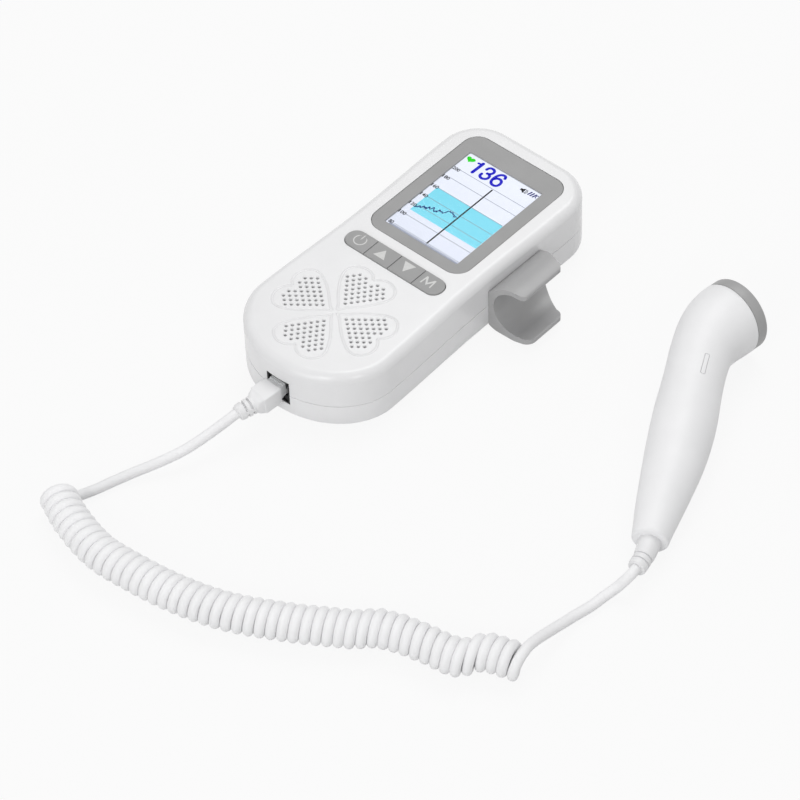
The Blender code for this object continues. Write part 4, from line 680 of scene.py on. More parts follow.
def build_bezel(paints):
    low = BODY_THICKNESS - BEZEL_THICKNESS
    edge, land, inner_radius, steps = 0.00035, 0.0003, 0.0007, 16

    def outer(inset, height):
        size = (BEZEL_WIDTH - 2 * inset, BEZEL_LENGTH - 2 * inset)
        return flat_ring(rectangle((0, DISPLAY_Y + BEZEL_OFFSET), *size, BEZEL_RADIUS - inset, steps), height)

    def inner(grow, height):
        size = (DISPLAY_WIDTH + 2 * grow, DISPLAY_LENGTH + 2 * grow)
        return flat_ring(rectangle((0, DISPLAY_Y), *size, inner_radius + grow, steps), height)

    rings = [outer(0.0, low)]
    rings += [outer(aside, BODY_THICKNESS - down) for aside, down in quarter(edge)]
    rings += [outer(edge + land, BODY_THICKNESS), inner(edge + land, BODY_THICKNESS)]
    rings += [inner(aside, BODY_THICKNESS - down) for aside, down in quarter(edge)[::-1]]
    rings.append(inner(0.0, low))
    fit(loft("display_frame", rings, paints["grey"], closed=True), "grey_trim", "monitor", "display_bezel")


SCREEN_Z = 0.02722
LENS_LOW = 0.02732
LENS_TOP = 0.0275
PRINT = 0.00002
LEGEND_PROUD = 0.00003


def on_screen(x, y):
    """A place in millimetres, as seen on the bezel's plane, carried along the line of sight to the screen's plane."""
    depth = (BODY_THICKNESS - SCREEN_Z) / -CAMERA_VIEW[2]
    return (x / 1000 + CAMERA_VIEW[0] * depth, DISPLAY_Y + y / 1000 + CAMERA_VIEW[1] * depth)


def all_on_screen(places):
    return [on_screen(*place) for place in places]


def printed(name, outlines, height, paint, slot="display_screen", body="monitor"):
    """Flat outlines as one thin raised print."""
    fit(lofts(name, [prism(outline, height - PRINT, height) for outline in outlines], paint), slot, body)


def strip(points, width):
    """Outline of a line of a given width through points."""
    left, right = [], []
    for (x, y), heading in zip(points, headings(points)):
        side = Vector((-heading.y, heading.x)) * width / 2
        left.append((x + side.x, y + side.y))
        right.append((x - side.x, y - side.y))
    return right + left[::-1]


def strips(name, lines, width, height, paint):
    """Thin straight lines on the screen."""
    lines = [all_on_screen(places) for places in lines]
    printed(name, [strip(ends, width) for points in lines for ends in zip(points, points[1:])], height, paint)


def lit(name, colour, strength=0.74):
    """A colour of the lit display: part of it is emitted and part is reflected."""
    dim = tuple(value * 0.98 for value in colour)
    base = [tuple(value * share for value in colour) for share in (0.32, 0.30)]
    return flat(name, *base, (0.2, 0.3), (dim, colour), strength)


def word(name, body, centre, size, paint, height):
    """Plain figures on the screen, as a thin mesh of a given width and height, centred on a place."""
    text = bpy.data.curves.new(name, "FONT")
    text.body = body
    text.offset = 0.02
    text.extrude = 0.00001
    text.resolution_u = 6
    source = add_object(name + "_text", text)
    bpy.context.view_layer.update()
    graph = bpy.context.evaluated_depsgraph_get()
    mesh = bpy.data.meshes.new_from_object(source.evaluated_get(graph))
    bpy.data.objects.remove(source)
    mesh.name = name
    places = np.empty(len(mesh.vertices) * 3)
    mesh.vertices.foreach_get("co", places)
    places = places.reshape(-1, 3)
    low, high = places.min(0), places.max(0)
    places[:, :2] = (places[:, :2] - (low + high)[:2] / 2) * (np.array(size) / (high - low)[:2]) + centre
    places[:, 2] += height
    mesh.vertices.foreach_set("co", places.reshape(-1))
    mesh.update()
    mesh.materials.clear()
    mesh.materials.append(paint)
    fit(add_object(name, mesh), "display_screen", "monitor")


def pens(name, strokes, height, paint, slot="display_screen", body="monitor"):
    """Pen strokes of even width through points, with round ends."""
    outlines = []
    for points, width in strokes:
        path = [Vector((*point, 0.0)) for point in points]
        if len(path) > 2:
            path = path_through(path, width / 3)
        path = [(place.x, place.y) for place in path]
        outline = strip(path, width)
        right, left = outline[:len(path)], outline[len(path):][::-1]
        outlines += zip(right, right[1:], left[1:], left)
        outlines += [circle(place, width / 2, 16) for place in (path[0], path[-1])]
    printed(name, outlines, height, paint, slot, body)


def build_display(paints):
    hidden = 0.0012  # the panel goes on under the frame
    panel = rectangle((0, DISPLAY_Y), DISPLAY_WIDTH + hidden, DISPLAY_LENGTH + hidden, 0.0006, 3)
    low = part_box("display_module")[1].z + HAIR
    fit(loft("display_panel", prism(panel, low, SCREEN_Z), screen_paint()), "display_screen", "monitor")
    window = rectangle((0, DISPLAY_Y), DISPLAY_WIDTH - GAP, DISPLAY_LENGTH - GAP, 0.0005, 4)
    lens = loft("display_window", prism(window, LENS_LOW, LENS_TOP), paints["lens"])
    fit(lens, "display_window", "monitor", "display_lens")
    ink = {name: lit("display_" + name, tone(*levels)) for name, levels in INKS.items()}
    ink["black"] = flat("display_black", (0.012, 0.012, 0.016), (0.008, 0.008, 0.01), (0.2, 0.3))
    first, second, third = (SCREEN_Z + layer * PRINT for layer in (1, 2, 3))
    right = 18.4
    for name, left, low, high, paint in (("band", -15.1, -14.2, 1.6, "cyan"),
                                         ("lower_edge", -16.3, -25.3, -24.35, "edge_grey")):
        corners = [(left, low), (right, low), (right, high), (left, high)]
        printed("display_" + name, [all_on_screen(corners)], first, ink[paint])
    lines = [[(-14.5, y), (right, y)] for y in (14.7, 9.0, 1.7, -4.6, -10.5, -17.2, -23.9)]
    strips("display_grid_lines", lines, 0.00022, second, ink["grid_grey"])
    strips("display_cursor_line", [[(2.25, 14.3), (2.25, -24.1)]], 0.00064, third, ink["black"])
    strips("display_trace_line", [TRACE], 0.00044, third, ink["navy"])
    strokes = [(all_on_screen(places), width) for places, width in READING]
    pens("display_reading", strokes, third, ink["blue"])
    wide, narrow, tall = 0.0033, 0.0021, 0.00175
    for value, y in ((200, 14.2), (180, 8.2), (160, 1.65), (140, -4.7), (120, -11.2), (100, -17.3), (80, -23.8)):
        size = (wide if value > 99 else narrow, tall)
        word(f"display_scale_{value}", str(value), on_screen(-16.15, y), size, ink["black"], third)
    build_icons(ink, third)


INKS = {
    "blue": (24, 24, 206), "navy": (22, 24, 120), "cyan": (137, 233, 255), "green": (44, 226, 30),
    "grid_grey": (150, 158, 172), "edge_grey": (172, 179, 198),
}
TRACE = (
    (-14.7, -12.2), (-14.1, -11.2), (-13.7, -11.6), (-13.3, -10.2), (-12.6, -11.1), (-12.0, -9.2), (-11.4, -10.2),
    (-10.9, -9.3), (-10.6, -10.3), (-10.0, -8.2), (-9.4, -9.4), (-9.0, -8.9), (-8.5, -7.4), (-7.8, -8.6), (-7.2, -9.4),
    (-6.7, -8.3), (-6.3, -9.0), (-5.9, -6.9), (-5.3, -7.9), (-4.7, -7.2), (-4.1, -8.0), (-3.4, -6.9), (-3.0, -5.6),
    (-2.3, -5.0), (-1.7, -5.7), (-1.1, -4.9), (-0.5, -5.9), (0.2, -5.6), (0.6, -6.8), (1.2, -5.9), (1.6, -6.3),
)
READING = (
    (((-10.0, 23.1), (-10.25, 16.75)), 0.0014),
    (((-11.7, 22.15), (-10.85, 22.3), (-10.0, 22.95)), 0.0009),
    (((-6.93, 21.5), (-6.65, 22.5), (-5.8, 23.2), (-4.75, 23.2), (-3.9, 22.7), (-3.6, 21.8), (-3.9, 20.8),
      (-4.6, 20.15), (-5.3, 19.95)), 0.00122),
    (((-4.6, 20.15), (-3.75, 19.5), (-3.35, 18.5), (-3.6, 17.5), (-4.35, 16.85), (-5.35, 16.55), (-6.35, 16.85),
      (-6.9, 17.6), (-6.9, 18.5)), 0.00122),
    (((1.92, 22.1), (1.6, 22.95), (0.75, 23.3), (-0.3, 22.95), (-1.1, 22.05), (-1.5, 20.8), (-1.65, 19.2),
      (-1.35, 17.8), (-0.65, 16.85), (0.45, 16.45), (1.55, 16.7), (2.25, 17.6), (2.35, 18.85), (1.95, 19.95),
      (1.15, 20.55), (0.15, 20.55), (-0.7, 20.1), (-1.25, 19.3)), 0.00122),
)


def build_icons(ink, height):
    heart = []
    for step in range(40):
        angle = tau * step / 40
        x = 16 * sin(angle) ** 3
        y = 13 * cos(angle) - 5 * cos(2 * angle) - 2 * cos(3 * angle) - cos(4 * angle)
        heart.append((-15.35 + x * 2.0 / 16, 21.75 + y * 0.105))
    printed("display_heart_icon", [all_on_screen(heart)], height, ink["green"])
    speaker = [(10.2, 21.3), (11.0, 21.3), (12.1, 20.4), (12.1, 23.2), (11.0, 22.4), (10.2, 22.4)]
    printed("display_sound_icon", [all_on_screen(speaker)], height, ink["black"])
    waves = []
    for reach in (0.9, 1.5):
        wave = [(11.9 + reach * cos(a), 21.85 + (0.9 + reach / 3) * sin(a))
                for a in np.linspace(-0.9, 0.9, 7)]
        waves.append((all_on_screen(wave), 0.00026))
    pens("display_sound_waves", waves, height, ink["black"])
    bars = [([on_screen(x, 21.3), on_screen(x + 0.55, 23.1)], 0.0006) for x in (14.3, 15.45, 16.6)]
    hook = ((18.25, 22.9), (17.8, 23.05), (17.5, 22.2), (17.85, 21.45))
    bars.append((all_on_screen(hook), 0.00036))
    pens("display_battery_bars", bars, height, ink["navy"])


def screen_paint():
    """The lit panel: white, a little dimmer towards its lower end."""
    paint = Paint("display_panel_glow")
    parts = paint.add("ShaderNodeSeparateXYZ")
    paint.link(paint.coordinates, parts.inputs["Vector"])
    half = DISPLAY_LENGTH / 2
    along = paint.spread(parts.outputs["Y"], 0.0, 1.0, DISPLAY_Y - half, DISPLAY_Y + half)
    paint.to(paint.ramp(along, ((0.0, tone(217, 223, 240)), (1.0, tone(236, 241, 255)))), "Emission Color")
    paint.mottle(paint.noise(700, 2), (0.30, 0.31, 0.33), (0.33, 0.34, 0.36))
    paint.gloss(paint.noise(260, 2), (0.12, 0.2))
    paint.set(Emission_Strength=0.85, Specular_IOR_Level=0.15)
    return paint.material


# Keys

KEYS = ("key_power", "key_up", "key_down", "key_mode")


def key_outline(index, inset, steps=18):
    """Plan outline of one key: a quarter of the strip, with the strip's round ends on the outer two."""
    pitch = KEY_STRIP_WIDTH / len(KEYS)
    middle = -KEY_STRIP_WIDTH / 2 + (index + 0.5) * pitch
    reach = pitch / 2 - 0.00011 - inset
    half = KEY_STRIP_HEIGHT / 2 - 0.00022 - inset
    outer = pitch / 2 - 0.00022 - inset - half
    corner = 0.0001
    points = []
    for side, end_key in ((1, len(KEYS) - 1), (-1, 0)):
        start = -side * pi / 2
        if index == end_key:
            points += arc((middle + side * outer, KEY_Y), half, start, start + pi, steps)
            continue
        for bend, up in ((0, -side), (1, side)):
            centre = (middle + side * (reach - corner), KEY_Y + up * (half - corner))
            points += arc(centre, corner, start + bend * pi / 2, start + (bend + 1) * pi / 2, steps // 2)
    return points


def build_keys(paints):
    top, under = BODY_THICKNESS + KEY_PROUD, BODY_THICKNESS - WALL
    for index, name in enumerate(KEYS):
        rings = [flat_ring(key_outline(index, 0.0), under)]
        rings += [flat_ring(key_outline(index, aside), top - down)
                  for aside, down in quarter(KEY_ROUND, (0, 22, 45, 67, 90))]
        rings.append(flat_ring(key_outline(index, KEY_ROUND + 0.0003), top))
        key = loft(name + "_cap", rings, paints["grey"])
        xs = [x for x, _ in key_outline(index, 0.0)]
        plan = circle(((min(xs) + max(xs)) / 2, KEY_Y), 0.0015, 20)
        stem = loft(name + "_stem", prism(plan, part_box(name)[0].z, under), paints["grey"])
        fit(key, "grey_trim", name, name)
        fit(stem, "grey_trim", name)
    half = ((0.0, -0.0018), (0.0018, 0.0010), (0.0020, -0.0019), (0.0026, -0.0019), (0.0023, 0.0023), (0.0016, 0.0023))
    letter = [*half, (0.0, -0.0004), *[(-x, y) for x, y in reversed(half[1:])]]
    legends = {
        "up": [(-0.0092, -0.0021), (-0.0037, -0.0021), (-0.0064, 0.0024)],
        "down": [(0.0028, 0.0030), (0.0056, -0.0020), (0.0082, 0.0030)],
        "mode": [(0.0169 + x, y) for x, y in letter],
    }
    for name, outline in legends.items():
        outline = [(x, KEY_Y + y) for x, y in outline]
        piece = loft("legend_" + name, prism(outline, top - 0.0001, top + LEGEND_PROUD), paints["legend"])
        fit(piece, "grey_trim", "key_" + name)
    centre, radius, opening = (-0.0179, KEY_Y + 0.0002), 0.00252, radians(36)
    ring = arc(centre, radius, pi / 2 + opening, pi * 2.5 - opening, 40)
    bar = [(centre[0], centre[1] + 0.0004), (centre[0], centre[1] + 0.0033)]
    strokes = [(ring, 0.0005), (bar, 0.0005)]
    pens("legend_power", strokes, top + LEGEND_PROUD, paints["legend"], "grey_trim", "key_power")


# Probe

def probe_matrix():
    turn = Matrix.Rotation(PROBE_YAW, 4, "Z") @ Matrix.Rotation(-PROBE_PITCH, 4, "Y")
    return Matrix.Translation(PROBE_TAIL) @ turn @ Matrix.Rotation(PROBE_ROLL, 4, "X")


def probe_path(distance):
    """A place on the probe's centre line, bowed and then bent to one side, and its direction there."""
    over = min(max(distance - PROBE_STRAIGHT, 0.0), PROBE_BEND * PROBE_BEND_RADIUS)
    angle = over / PROBE_BEND_RADIUS
    along = min(distance, PROBE_STRAIGHT)
    bow = PROBE_BOW * sin(pi * min(max(along / PROBE_STRAIGHT, 0.0), 1.0)) ** 2
    place = Vector((along, -bow, 0.0))
    place += PROBE_BEND_RADIUS * Vector((sin(angle), cos(angle) - 1, 0.0))
    heading = Vector((cos(angle), -sin(angle), 0.0))
    place += heading * max(distance - PROBE_STRAIGHT - PROBE_BEND * PROBE_BEND_RADIUS, 0.0)
    return place, heading


HANDLE_TABLE = path_through([(*pair, 0.0) for pair in HANDLE_RADIUS_SHARES], 1 / 15**2)
HANDLE_SHARES, HANDLE_RADII = np.array(HANDLE_TABLE).T[:2]


def handle_radius(distance):
    return CAP_RADIUS * float(np.interp(distance / HANDLE_LENGTH, HANDLE_SHARES, HANDLE_RADII))


def turned_rings(path, stations, matrix, sides):
    """Rings round a line of the probe from (distance, radius) pairs, in the scene's frame."""
    rings = []
    for distance, radius in stations:
        centre, heading = path(distance)
        across = Vector((-heading.y, heading.x, 0.0))
        rings.append([matrix @ (centre + across * x + Vector((0, 0, z))) for x, z in circle((0, 0), radius, sides)])
    return rings


def build_probe(paints):
    matrix = probe_matrix()
    edge, sides = 0.0011, 96
    stations = [(0.0, 0.0042)]
    stations += [(along, handle_radius(along) - down) for along, down in quarter(edge, range(0, 91, 15))]
    stations += [(along, handle_radius(along)) for along in np.linspace(edge + 0.001, HANDLE_LENGTH - 0.0003, 90)]
    stations.append((HANDLE_LENGTH, handle_radius(HANDLE_LENGTH) - 0.00025))
    handle = loft("probe_handle", turned_rings(probe_path, stations, matrix, sides), paints["probe"])
    cut(handle, slot_cutter(matrix))
    fit(handle, "white_shell", "cord_and_probe", "probe_shell_upper", "probe_shell_lower")
    low, high = HANDLE_LENGTH + 0.0001, HANDLE_LENGTH + CAP_LENGTH + GAP
    edge, face, dome = 0.0008, 0.0118, 0.00018
    rim = [(low, CAP_RADIUS - 0.0003), (low + 0.0001, CAP_RADIUS - 0.00005), (low + 0.0003, CAP_RADIUS)]
    rim += [(high - down, CAP_RADIUS - aside) for aside, down in quarter(edge, range(0, 91, 15))]
    rim.append((high, CAP_RADIUS - edge - 0.0003))
    for radius in (face, 0.0113, 0.0108, 0.0095, 0.007, 0.004, 0.001):
        rise = dome * sqrt(max(0.0, 1 - (radius / face) ** 2))
        rim.append((high + rise - dome * (radius <= 0.0113), radius))
    rings = turned_rings(probe_path, rim, matrix, sides)
    fit(loft("transducer_face", rings, paints["cap"]), "grey_trim", "cord_and_probe", "transducer_cap")
    build_relief(paints, matrix)


def slot_cutter(matrix):
    """The thin rounded line of the small slot in the handle."""
    start, length, width, line = 0.0716, 0.0098, 0.0019, 0.00018
    middle = start + length / 2
    outer, inner = [rectangle((middle, 0.0), length - 2 * step, width - 2 * step, width * 0.32 - step, 8)
                    for step in (0.0, line)]
    low, high = handle_radius(middle) - 0.0006, CAP_RADIUS + BEYOND
    rings = [flat_ring(inner, low), flat_ring(outer, low), flat_ring(outer, high), flat_ring(inner, high)]
    cutter = loft("cut_slot", rings, closed=True)
    cutter.data.transform(matrix @ Matrix.Rotation(SLOT_TURN, 4, "X"))
    return cutter


def relief_path(out):
    """The same for the strain relief, which leans to one side on its way out."""
    share = max(out, 0.0) / RELIEF_LENGTH
    heading = Vector((-1.0, 2 * RELIEF_LEAN / RELIEF_LENGTH * share, 0.0)).normalized()
    return Vector((-out, RELIEF_LEAN * share**2, 0.0)), heading


def build_relief(paints, matrix):
    """The probe's strain relief: a plain tapered sleeve, with two slits and a lip near its tip."""
    profile = [(-0.0030, 0.0040), (0.0, 0.0042), (0.0035, 0.00405), (0.0068, 0.0039), (0.0075, 0.00372)]
    for start in (0.0078, 0.0102):
        profile += [(start, 0.0036), (start + 0.00015, 0.0029), (start + 0.0005, 0.0029), (start + 0.00065, 0.0036)]
        profile += [(start + 0.0014, 0.0036), (start + 0.0018, 0.00355)]
    profile += [(0.0126, 0.0035), (0.0130, 0.0034), (0.0132, 0.0031), (0.0132, 0.0018)]
    rings = turned_rings(relief_path, profile, matrix, 48)
    fit(loft("probe_relief_sleeve", rings, paints["boot"]), "cord_jacket", "cord_and_probe", "probe_relief")


# Cord

def curl_points(per_turn=20):
    """The curly stretch: a left-handed helix round a smooth middle line; its last half turn opens out and drops."""
    floor = CORD_DIAMETER / 2 + CURL_RADIUS
    line = np.array(path_through([(x, y, floor) for x, y in CURL_ROUTE], CURL_RADIUS / 4))
    along = np.concatenate(([0.0], np.cumsum(np.linalg.norm(np.diff(line, axis=0), axis=1))))
    length = along[-1]
    turns = CURL_TURNS + 0.5
    steps = round(turns * per_turn)
    points = []
    jog_places, jogs = zip(*CURL_JOG_SHARES)

    def middle(place):
        return np.array([np.interp(place, along, line[:, axis]) for axis in range(3)])

    for step in range(steps + 1):
        share = step / steps
        place = share * length
        near, far = max(place - CURL_RADIUS * 2, 0.0), min(place + CURL_RADIUS * 2, length)
        heading = middle(far) - middle(near)
        heading /= np.linalg.norm(heading)
        side = np.array([heading[1], -heading[0], 0.0])
        opened = max(0.0, (share - 1) * turns * 2 + 1)
        jog = side * CURL_JOG * np.interp(share, jog_places, jogs)
        centre = middle(place) + jog + heading * CURL_EXIT_SPREAD * opened**2
        centre[2] -= CURL_EXIT_DROP * opened**2 * (3 - 2 * opened)
        angle = tau * turns * share
        out = side * sin(angle) - np.array([0.0, 0.0, 1.0]) * cos(angle)
        points.append(Vector(centre + CURL_RADIUS * out))
    return points


def straight_end(points, length):
    """The points with a level straight piece added at both ends."""
    first = (points[0] - points[1]).normalized()
    last = (points[-1] - points[-2]).normalized()
    first.z = last.z = 0.0
    return [points[0] + first.normalized() * length, *points, points[-1] + last.normalized() * length]


def eased(start, leave, finish, arrive, steps=7):
    """The places between two ends of a smooth bend; leave and arrive are its directions there."""
    reach = (finish - start).length
    places = []
    for step in range(1, steps):
        t = step / steps
        places.append(start * (2 * t**3 - 3 * t**2 + 1) + leave * reach * (t**3 - 2 * t**2 + t)
                      + finish * (3 * t**2 - 2 * t**3) + arrive * reach * (t**3 - t**2))
    return places


def build_cord(paints):
    wire = straight_end(curl_points(), CURL_WIRE_DIAMETER)
    heading = (wire[1] - wire[0]).normalized()
    first = smooth_path([Vector(LEAD_UNIT_ROUTE[0]) * 2 - Vector(LEAD_UNIT_ROUTE[1]), *LEAD_UNIT_ROUTE,
                         wire[0] - heading * CORD_STRAIGHT, wire[0], wire[1]], LEAD_STEP)
    matrix = probe_matrix()
    tip, leave = relief_path(RELIEF_LENGTH)
    tip = matrix @ tip
    leave = (matrix.to_3x3() @ leave).normalized()
    heading = (wire[-1] - wire[-2]).normalized()
    sunk, turned_in = 0.004, 0.002  # how far the cord goes on inside the relief, and where its last slope is taken
    start = tip - leave * sunk
    arrive = (Vector(LEAD_PROBE_ROUTE[3]) - Vector(LEAD_PROBE_ROUTE[1])).normalized()
    tightness = 0.5
    bend = eased(wire[-1], heading * tightness, Vector(LEAD_PROBE_ROUTE[2]), arrive)
    last = smooth_path([wire[-2], wire[-1], *bend, *LEAD_PROBE_ROUTE[2:], tip + leave * CORD_STRAIGHT, tip, start,
                        start - leave * turned_in], LEAD_STEP)
    lift = Vector((0.0, 0.0, (VISUAL_CORD - CORD_DIAMETER) / 2))
    points = [point + lift for point in (*first, *wire[1:-1], *last)]
    curve = bpy.data.curves.new("cord", "CURVE")
    curve.dimensions = "3D"
    curve.bevel_depth = VISUAL_CORD / 2
    curve.bevel_resolution = 6
    curve.use_fill_caps = True
    spline = curve.splines.new("POLY")
    spline.points.add(len(points) - 1)
    for target, place in zip(spline.points, points):
        target.co = (*place, 1.0)
    curve.materials.append(paints["cord"])
    cord = add_object("cord", curve)
    fit(cord, "cord_jacket", "cord_and_probe", "lead_unit_end", "curly_cord", "lead_probe_end")


# Plug and clip

def build_jack_collar(paints):
    """The jack's black collar, which lines the shell's opening nearly out to the end wall."""
    centre, wall = (JACK_X, JACK_BOTTOM + JACK_HEIGHT / 2), 0.0007
    wider, taller, further, corner = 0.00056, 0.0003, 0.00012, 0.0001

    def ring(inset, y):
        size = (JACK_WIDTH + wider - 2 * inset, JACK_HEIGHT + taller - 2 * inset)
        return [(x, y, z) for x, z in rectangle(centre, *size, corner, 2)]

    outer, inner = END_WALL_Y + further, JACK_FRONT_Y - HAIR
    rings = [ring(0.0, inner), ring(0.0, outer), ring(wall, outer), ring(wall, inner)]
    fit(loft("jack_collar", rings, paints["black"], closed=True), "black_plastic", "monitor")


def build_plug(paints):
    """The clear plug: a chamfered block with a stepped shoulder and a cord clamp groove on its top."""
    outer_y, inner_y, top = JACK_FRONT_Y - PLUG_OUTER, JACK_FRONT_Y + PLUG_INNER, PLUG_BOTTOM + PLUG_HEIGHT
    stations = ((0.0, 0.0005), (0.0003, 0.0002), (0.0013, 0.0002), (0.0014, 0.0005), (0.0016, 0.0005), (0.0017, 0.0),
                (0.0023, 0.0), (0.0024, 0.0003), (0.0026, 0.0003), (0.0027, 0.0), (0.0030, 0.0), (0.0031, 0.0034))
    rings = [plug_ring(outer_y + along, drop, 0.0 if along else 0.0003) for along, drop in stations]
    rings += [plug_ring(inner_y - 0.0046, 0.0034), plug_ring(inner_y - 0.0044, 0.0)]
    rings += [plug_ring(inner_y - 0.0006, 0.0), plug_ring(inner_y, 0.0006, 0.0006)]
    fit(loft("plug_moulding", rings, paints["clear"]), "clear_plastic", "cord_and_probe", "plug_body")
    pitch, half, pins = 0.00127, 0.0002, []
    for index in range(4):
        x = JACK_X + (index - 1.5) * pitch
        pins.append(box((x - half, inner_y - 0.0042, top - 0.0030), (x + half, inner_y - 0.0008, top + 0.00004)))
    fit(lofts("plug_contact_pins", pins, paints["gold"]), "gold_contact", "cord_and_probe")


def plug_ring(y, drop, inset=0.0):
    """A ring of the plug across the cord's direction; its top may sit lower than the block's."""
    aside, narrower, corner = -0.0003, 0.0009, 0.00025
    low, high = PLUG_BOTTOM + inset, PLUG_BOTTOM + PLUG_HEIGHT - max(drop, inset)
    outline = rectangle((aside, (low + high) / 2), PLUG_WIDTH - narrower - 2 * inset, high - low, corner, 4)
    return [(JACK_X + x, y, z) for x, z in outline]


def boot_ring(half_width, half_height, roundness, slit=0.0, sides=72):
    """From a rounded block to a circle as roundness goes to 1; a slit is cut in, but for two small bridges."""
    power, bridges = 2 / (2 + 12 * (1 - roundness)), ((150, 176), (250, 276))
    ring = []
    for step in range(sides):
        angle = tau * step / sides
        cosine, sine = cos(angle), sin(angle)
        cut_in = 0.0 if any(low < degrees(angle) < high for low, high in bridges) else slit
        ring.append(((half_width - cut_in) * copysign(abs(cosine) ** power, cosine),
                     (half_height - cut_in) * copysign(abs(sine) ** power, sine)))
    return ring


def build_boot(paints):
    """The plug's rubber boot: a rounded block, a smooth taper, two slits and a lip where the cord leaves."""
    wide, tall = BOOT_BLOCK_HALF_WIDTH, BOOT_BLOCK_HALF_HEIGHT
    stations = [(0.0, wide - 0.0004, tall - 0.0004, 0.10), (0.00012, wide - 0.00016, tall - 0.00016, 0.10),
                (0.0004, wide, tall, 0.10), (0.0062, wide, tall, 0.12), (0.0065, wide - 0.0001, tall - 0.0001, 0.16),
                (0.0067, wide - 0.0004, tall - 0.0002, 0.3), (0.0073, 0.0039, 0.00375, 0.55),
                (0.0080, 0.00378, 0.00368, 0.8), (0.0087, 0.00368, 0.00362, 1.0)]
    deep = 0.0009
    tail = [(0.00885, 0.00356), (0.0090, 0.00362)]
    for start, radius in ((0.0096, 0.00358), (0.0113, 0.00347)):
        tail += [(start, radius), (start + 0.00002, radius, deep), (start + 0.00074, radius, deep)]
        tail.append((start + 0.00076, radius))
    tail += [(0.0128, 0.00338), (0.0134, 0.0033), (0.0139, 0.0031), (BOOT_LENGTH, 0.0026), (BOOT_LENGTH, 0.0018)]
    stations += [(distance, radius, radius, 1.0, *slit) for distance, radius, *slit in tail]
    start = Vector((JACK_X, JACK_FRONT_Y - PLUG_OUTER - GAP, PLUG_BOTTOM + PLUG_HEIGHT / 2))
    end = Vector(LEAD_UNIT_ROUTE[0])
    heading = (Vector(LEAD_UNIT_ROUTE[1]) - end).normalized()
    control = start + Vector((0, -1, 0)) * (BOOT_LENGTH * 0.55)
    rings = []
    for distance, *section in stations:
        t = distance / BOOT_LENGTH
        place = bent(start, control, end, t)
        slope = heading if t == 1 else ((control - start) * (1 - t) + (end - control) * t).normalized()
        across = slope.cross(Vector((0, 0, 1))).normalized()
        up = across.cross(slope)
        rings.append([place + across * x + up * z for x, z in boot_ring(*section)])
    fit(loft("plug_boot_moulding", rings, paints["boot"]), "cord_jacket", "cord_and_probe", "plug_boot")


def rounded(points, radii, steps=8):
    """An open outline with its inner corners rounded."""
    result = [points[0]]
    for before, corner, after, radius in zip(points, points[1:], points[2:], radii):
        corner = Vector(corner)
        back, ahead = (Vector(before) - corner).normalized(), (Vector(after) - corner).normalized()
        half = back.angle(ahead) / 2
        reach = radius / tan(half)
        start, end = corner + back * reach, corner + ahead * reach
        result += [tuple(bent(start, corner, end, share)) for share in np.linspace(0, 1, steps + 1)]
    result.append(points[-1])
    return result


def clip_section():
    """The clip's outline in the XZ plane: a pad on the unit's side, and a C with a long lower lip."""
    centre = (CLIP_CENTRE_X, CLIP_CENTRE_Z)
    pad_x = TOP_HALF_WIDTH - WALL
    bottom = CLIP_CENTRE_Z - CLIP_OUTER_RADIUS - (CLIP_OUTER_RADIUS - CLIP_INNER_RADIUS) / 2
    round_end = (CLIP_OUTER_RADIUS - CLIP_INNER_RADIUS) / 2
    middle = CLIP_INNER_RADIUS + round_end
    tip_angle = CLIP_TIP_ANGLE + round_end / middle
    inner = arc(centre, CLIP_INNER_RADIUS, CLIP_LIP_ANGLE, tip_angle, 72)
    cosine, sine = cos(tip_angle), sin(tip_angle)
    tip = []
    for turn in np.linspace(0, pi, 12)[1:-1]:
        out, ahead = middle - round_end * cos(turn), round_end * sin(turn)
        tip.append((centre[0] + out * cosine + ahead * sine, centre[1] + out * sine - ahead * cosine))
    under = [(pad_x, CLIP_PAD_BOTTOM), (TOP_HALF_WIDTH + WALL, CLIP_PAD_BOTTOM - WALL), (CLIP_CENTRE_X, bottom),
             (CLIP_LIP_EDGE, CLIP_LIP_LOW), (CLIP_LIP_EDGE, CLIP_LIP_HIGH), inner[0]]
    points = rounded(under, (0.008, 0.012, 0.0012, 0.0009))
    points += inner[1:] + tip
    points += arc(centre, CLIP_OUTER_RADIUS, tip_angle, CLIP_SHOULDER_ANGLE, 24)
    points.append((pad_x, CLIP_PAD_TOP))
    return points


def arm_end(edge_x, root_y, side, taper, low, high):
    """Cutter for one end of an arm, in plan: a slanted edge from the pad, and a rounded corner at the tip."""
    root_x = CLIP_CENTRE_X - CLIP_OUTER_RADIUS
    tip_y = root_y - side * taper
    centre = (edge_x - CLIP_CORNER, tip_y - side * CLIP_CORNER)
    points = [(root_x, root_y)]
    points += [(centre[0] + x, centre[1] + side * y) for x, y in arc((0, 0), CLIP_CORNER, pi / 2, 0, 15)]
    outside = root_y + side * BEYOND
    points += [(edge_x + BEYOND, centre[1]), (edge_x + BEYOND, outside), (root_x, outside)]
    return loft("cut_clip_end", prism(points[::-1] if side > 0 else points, low, high))


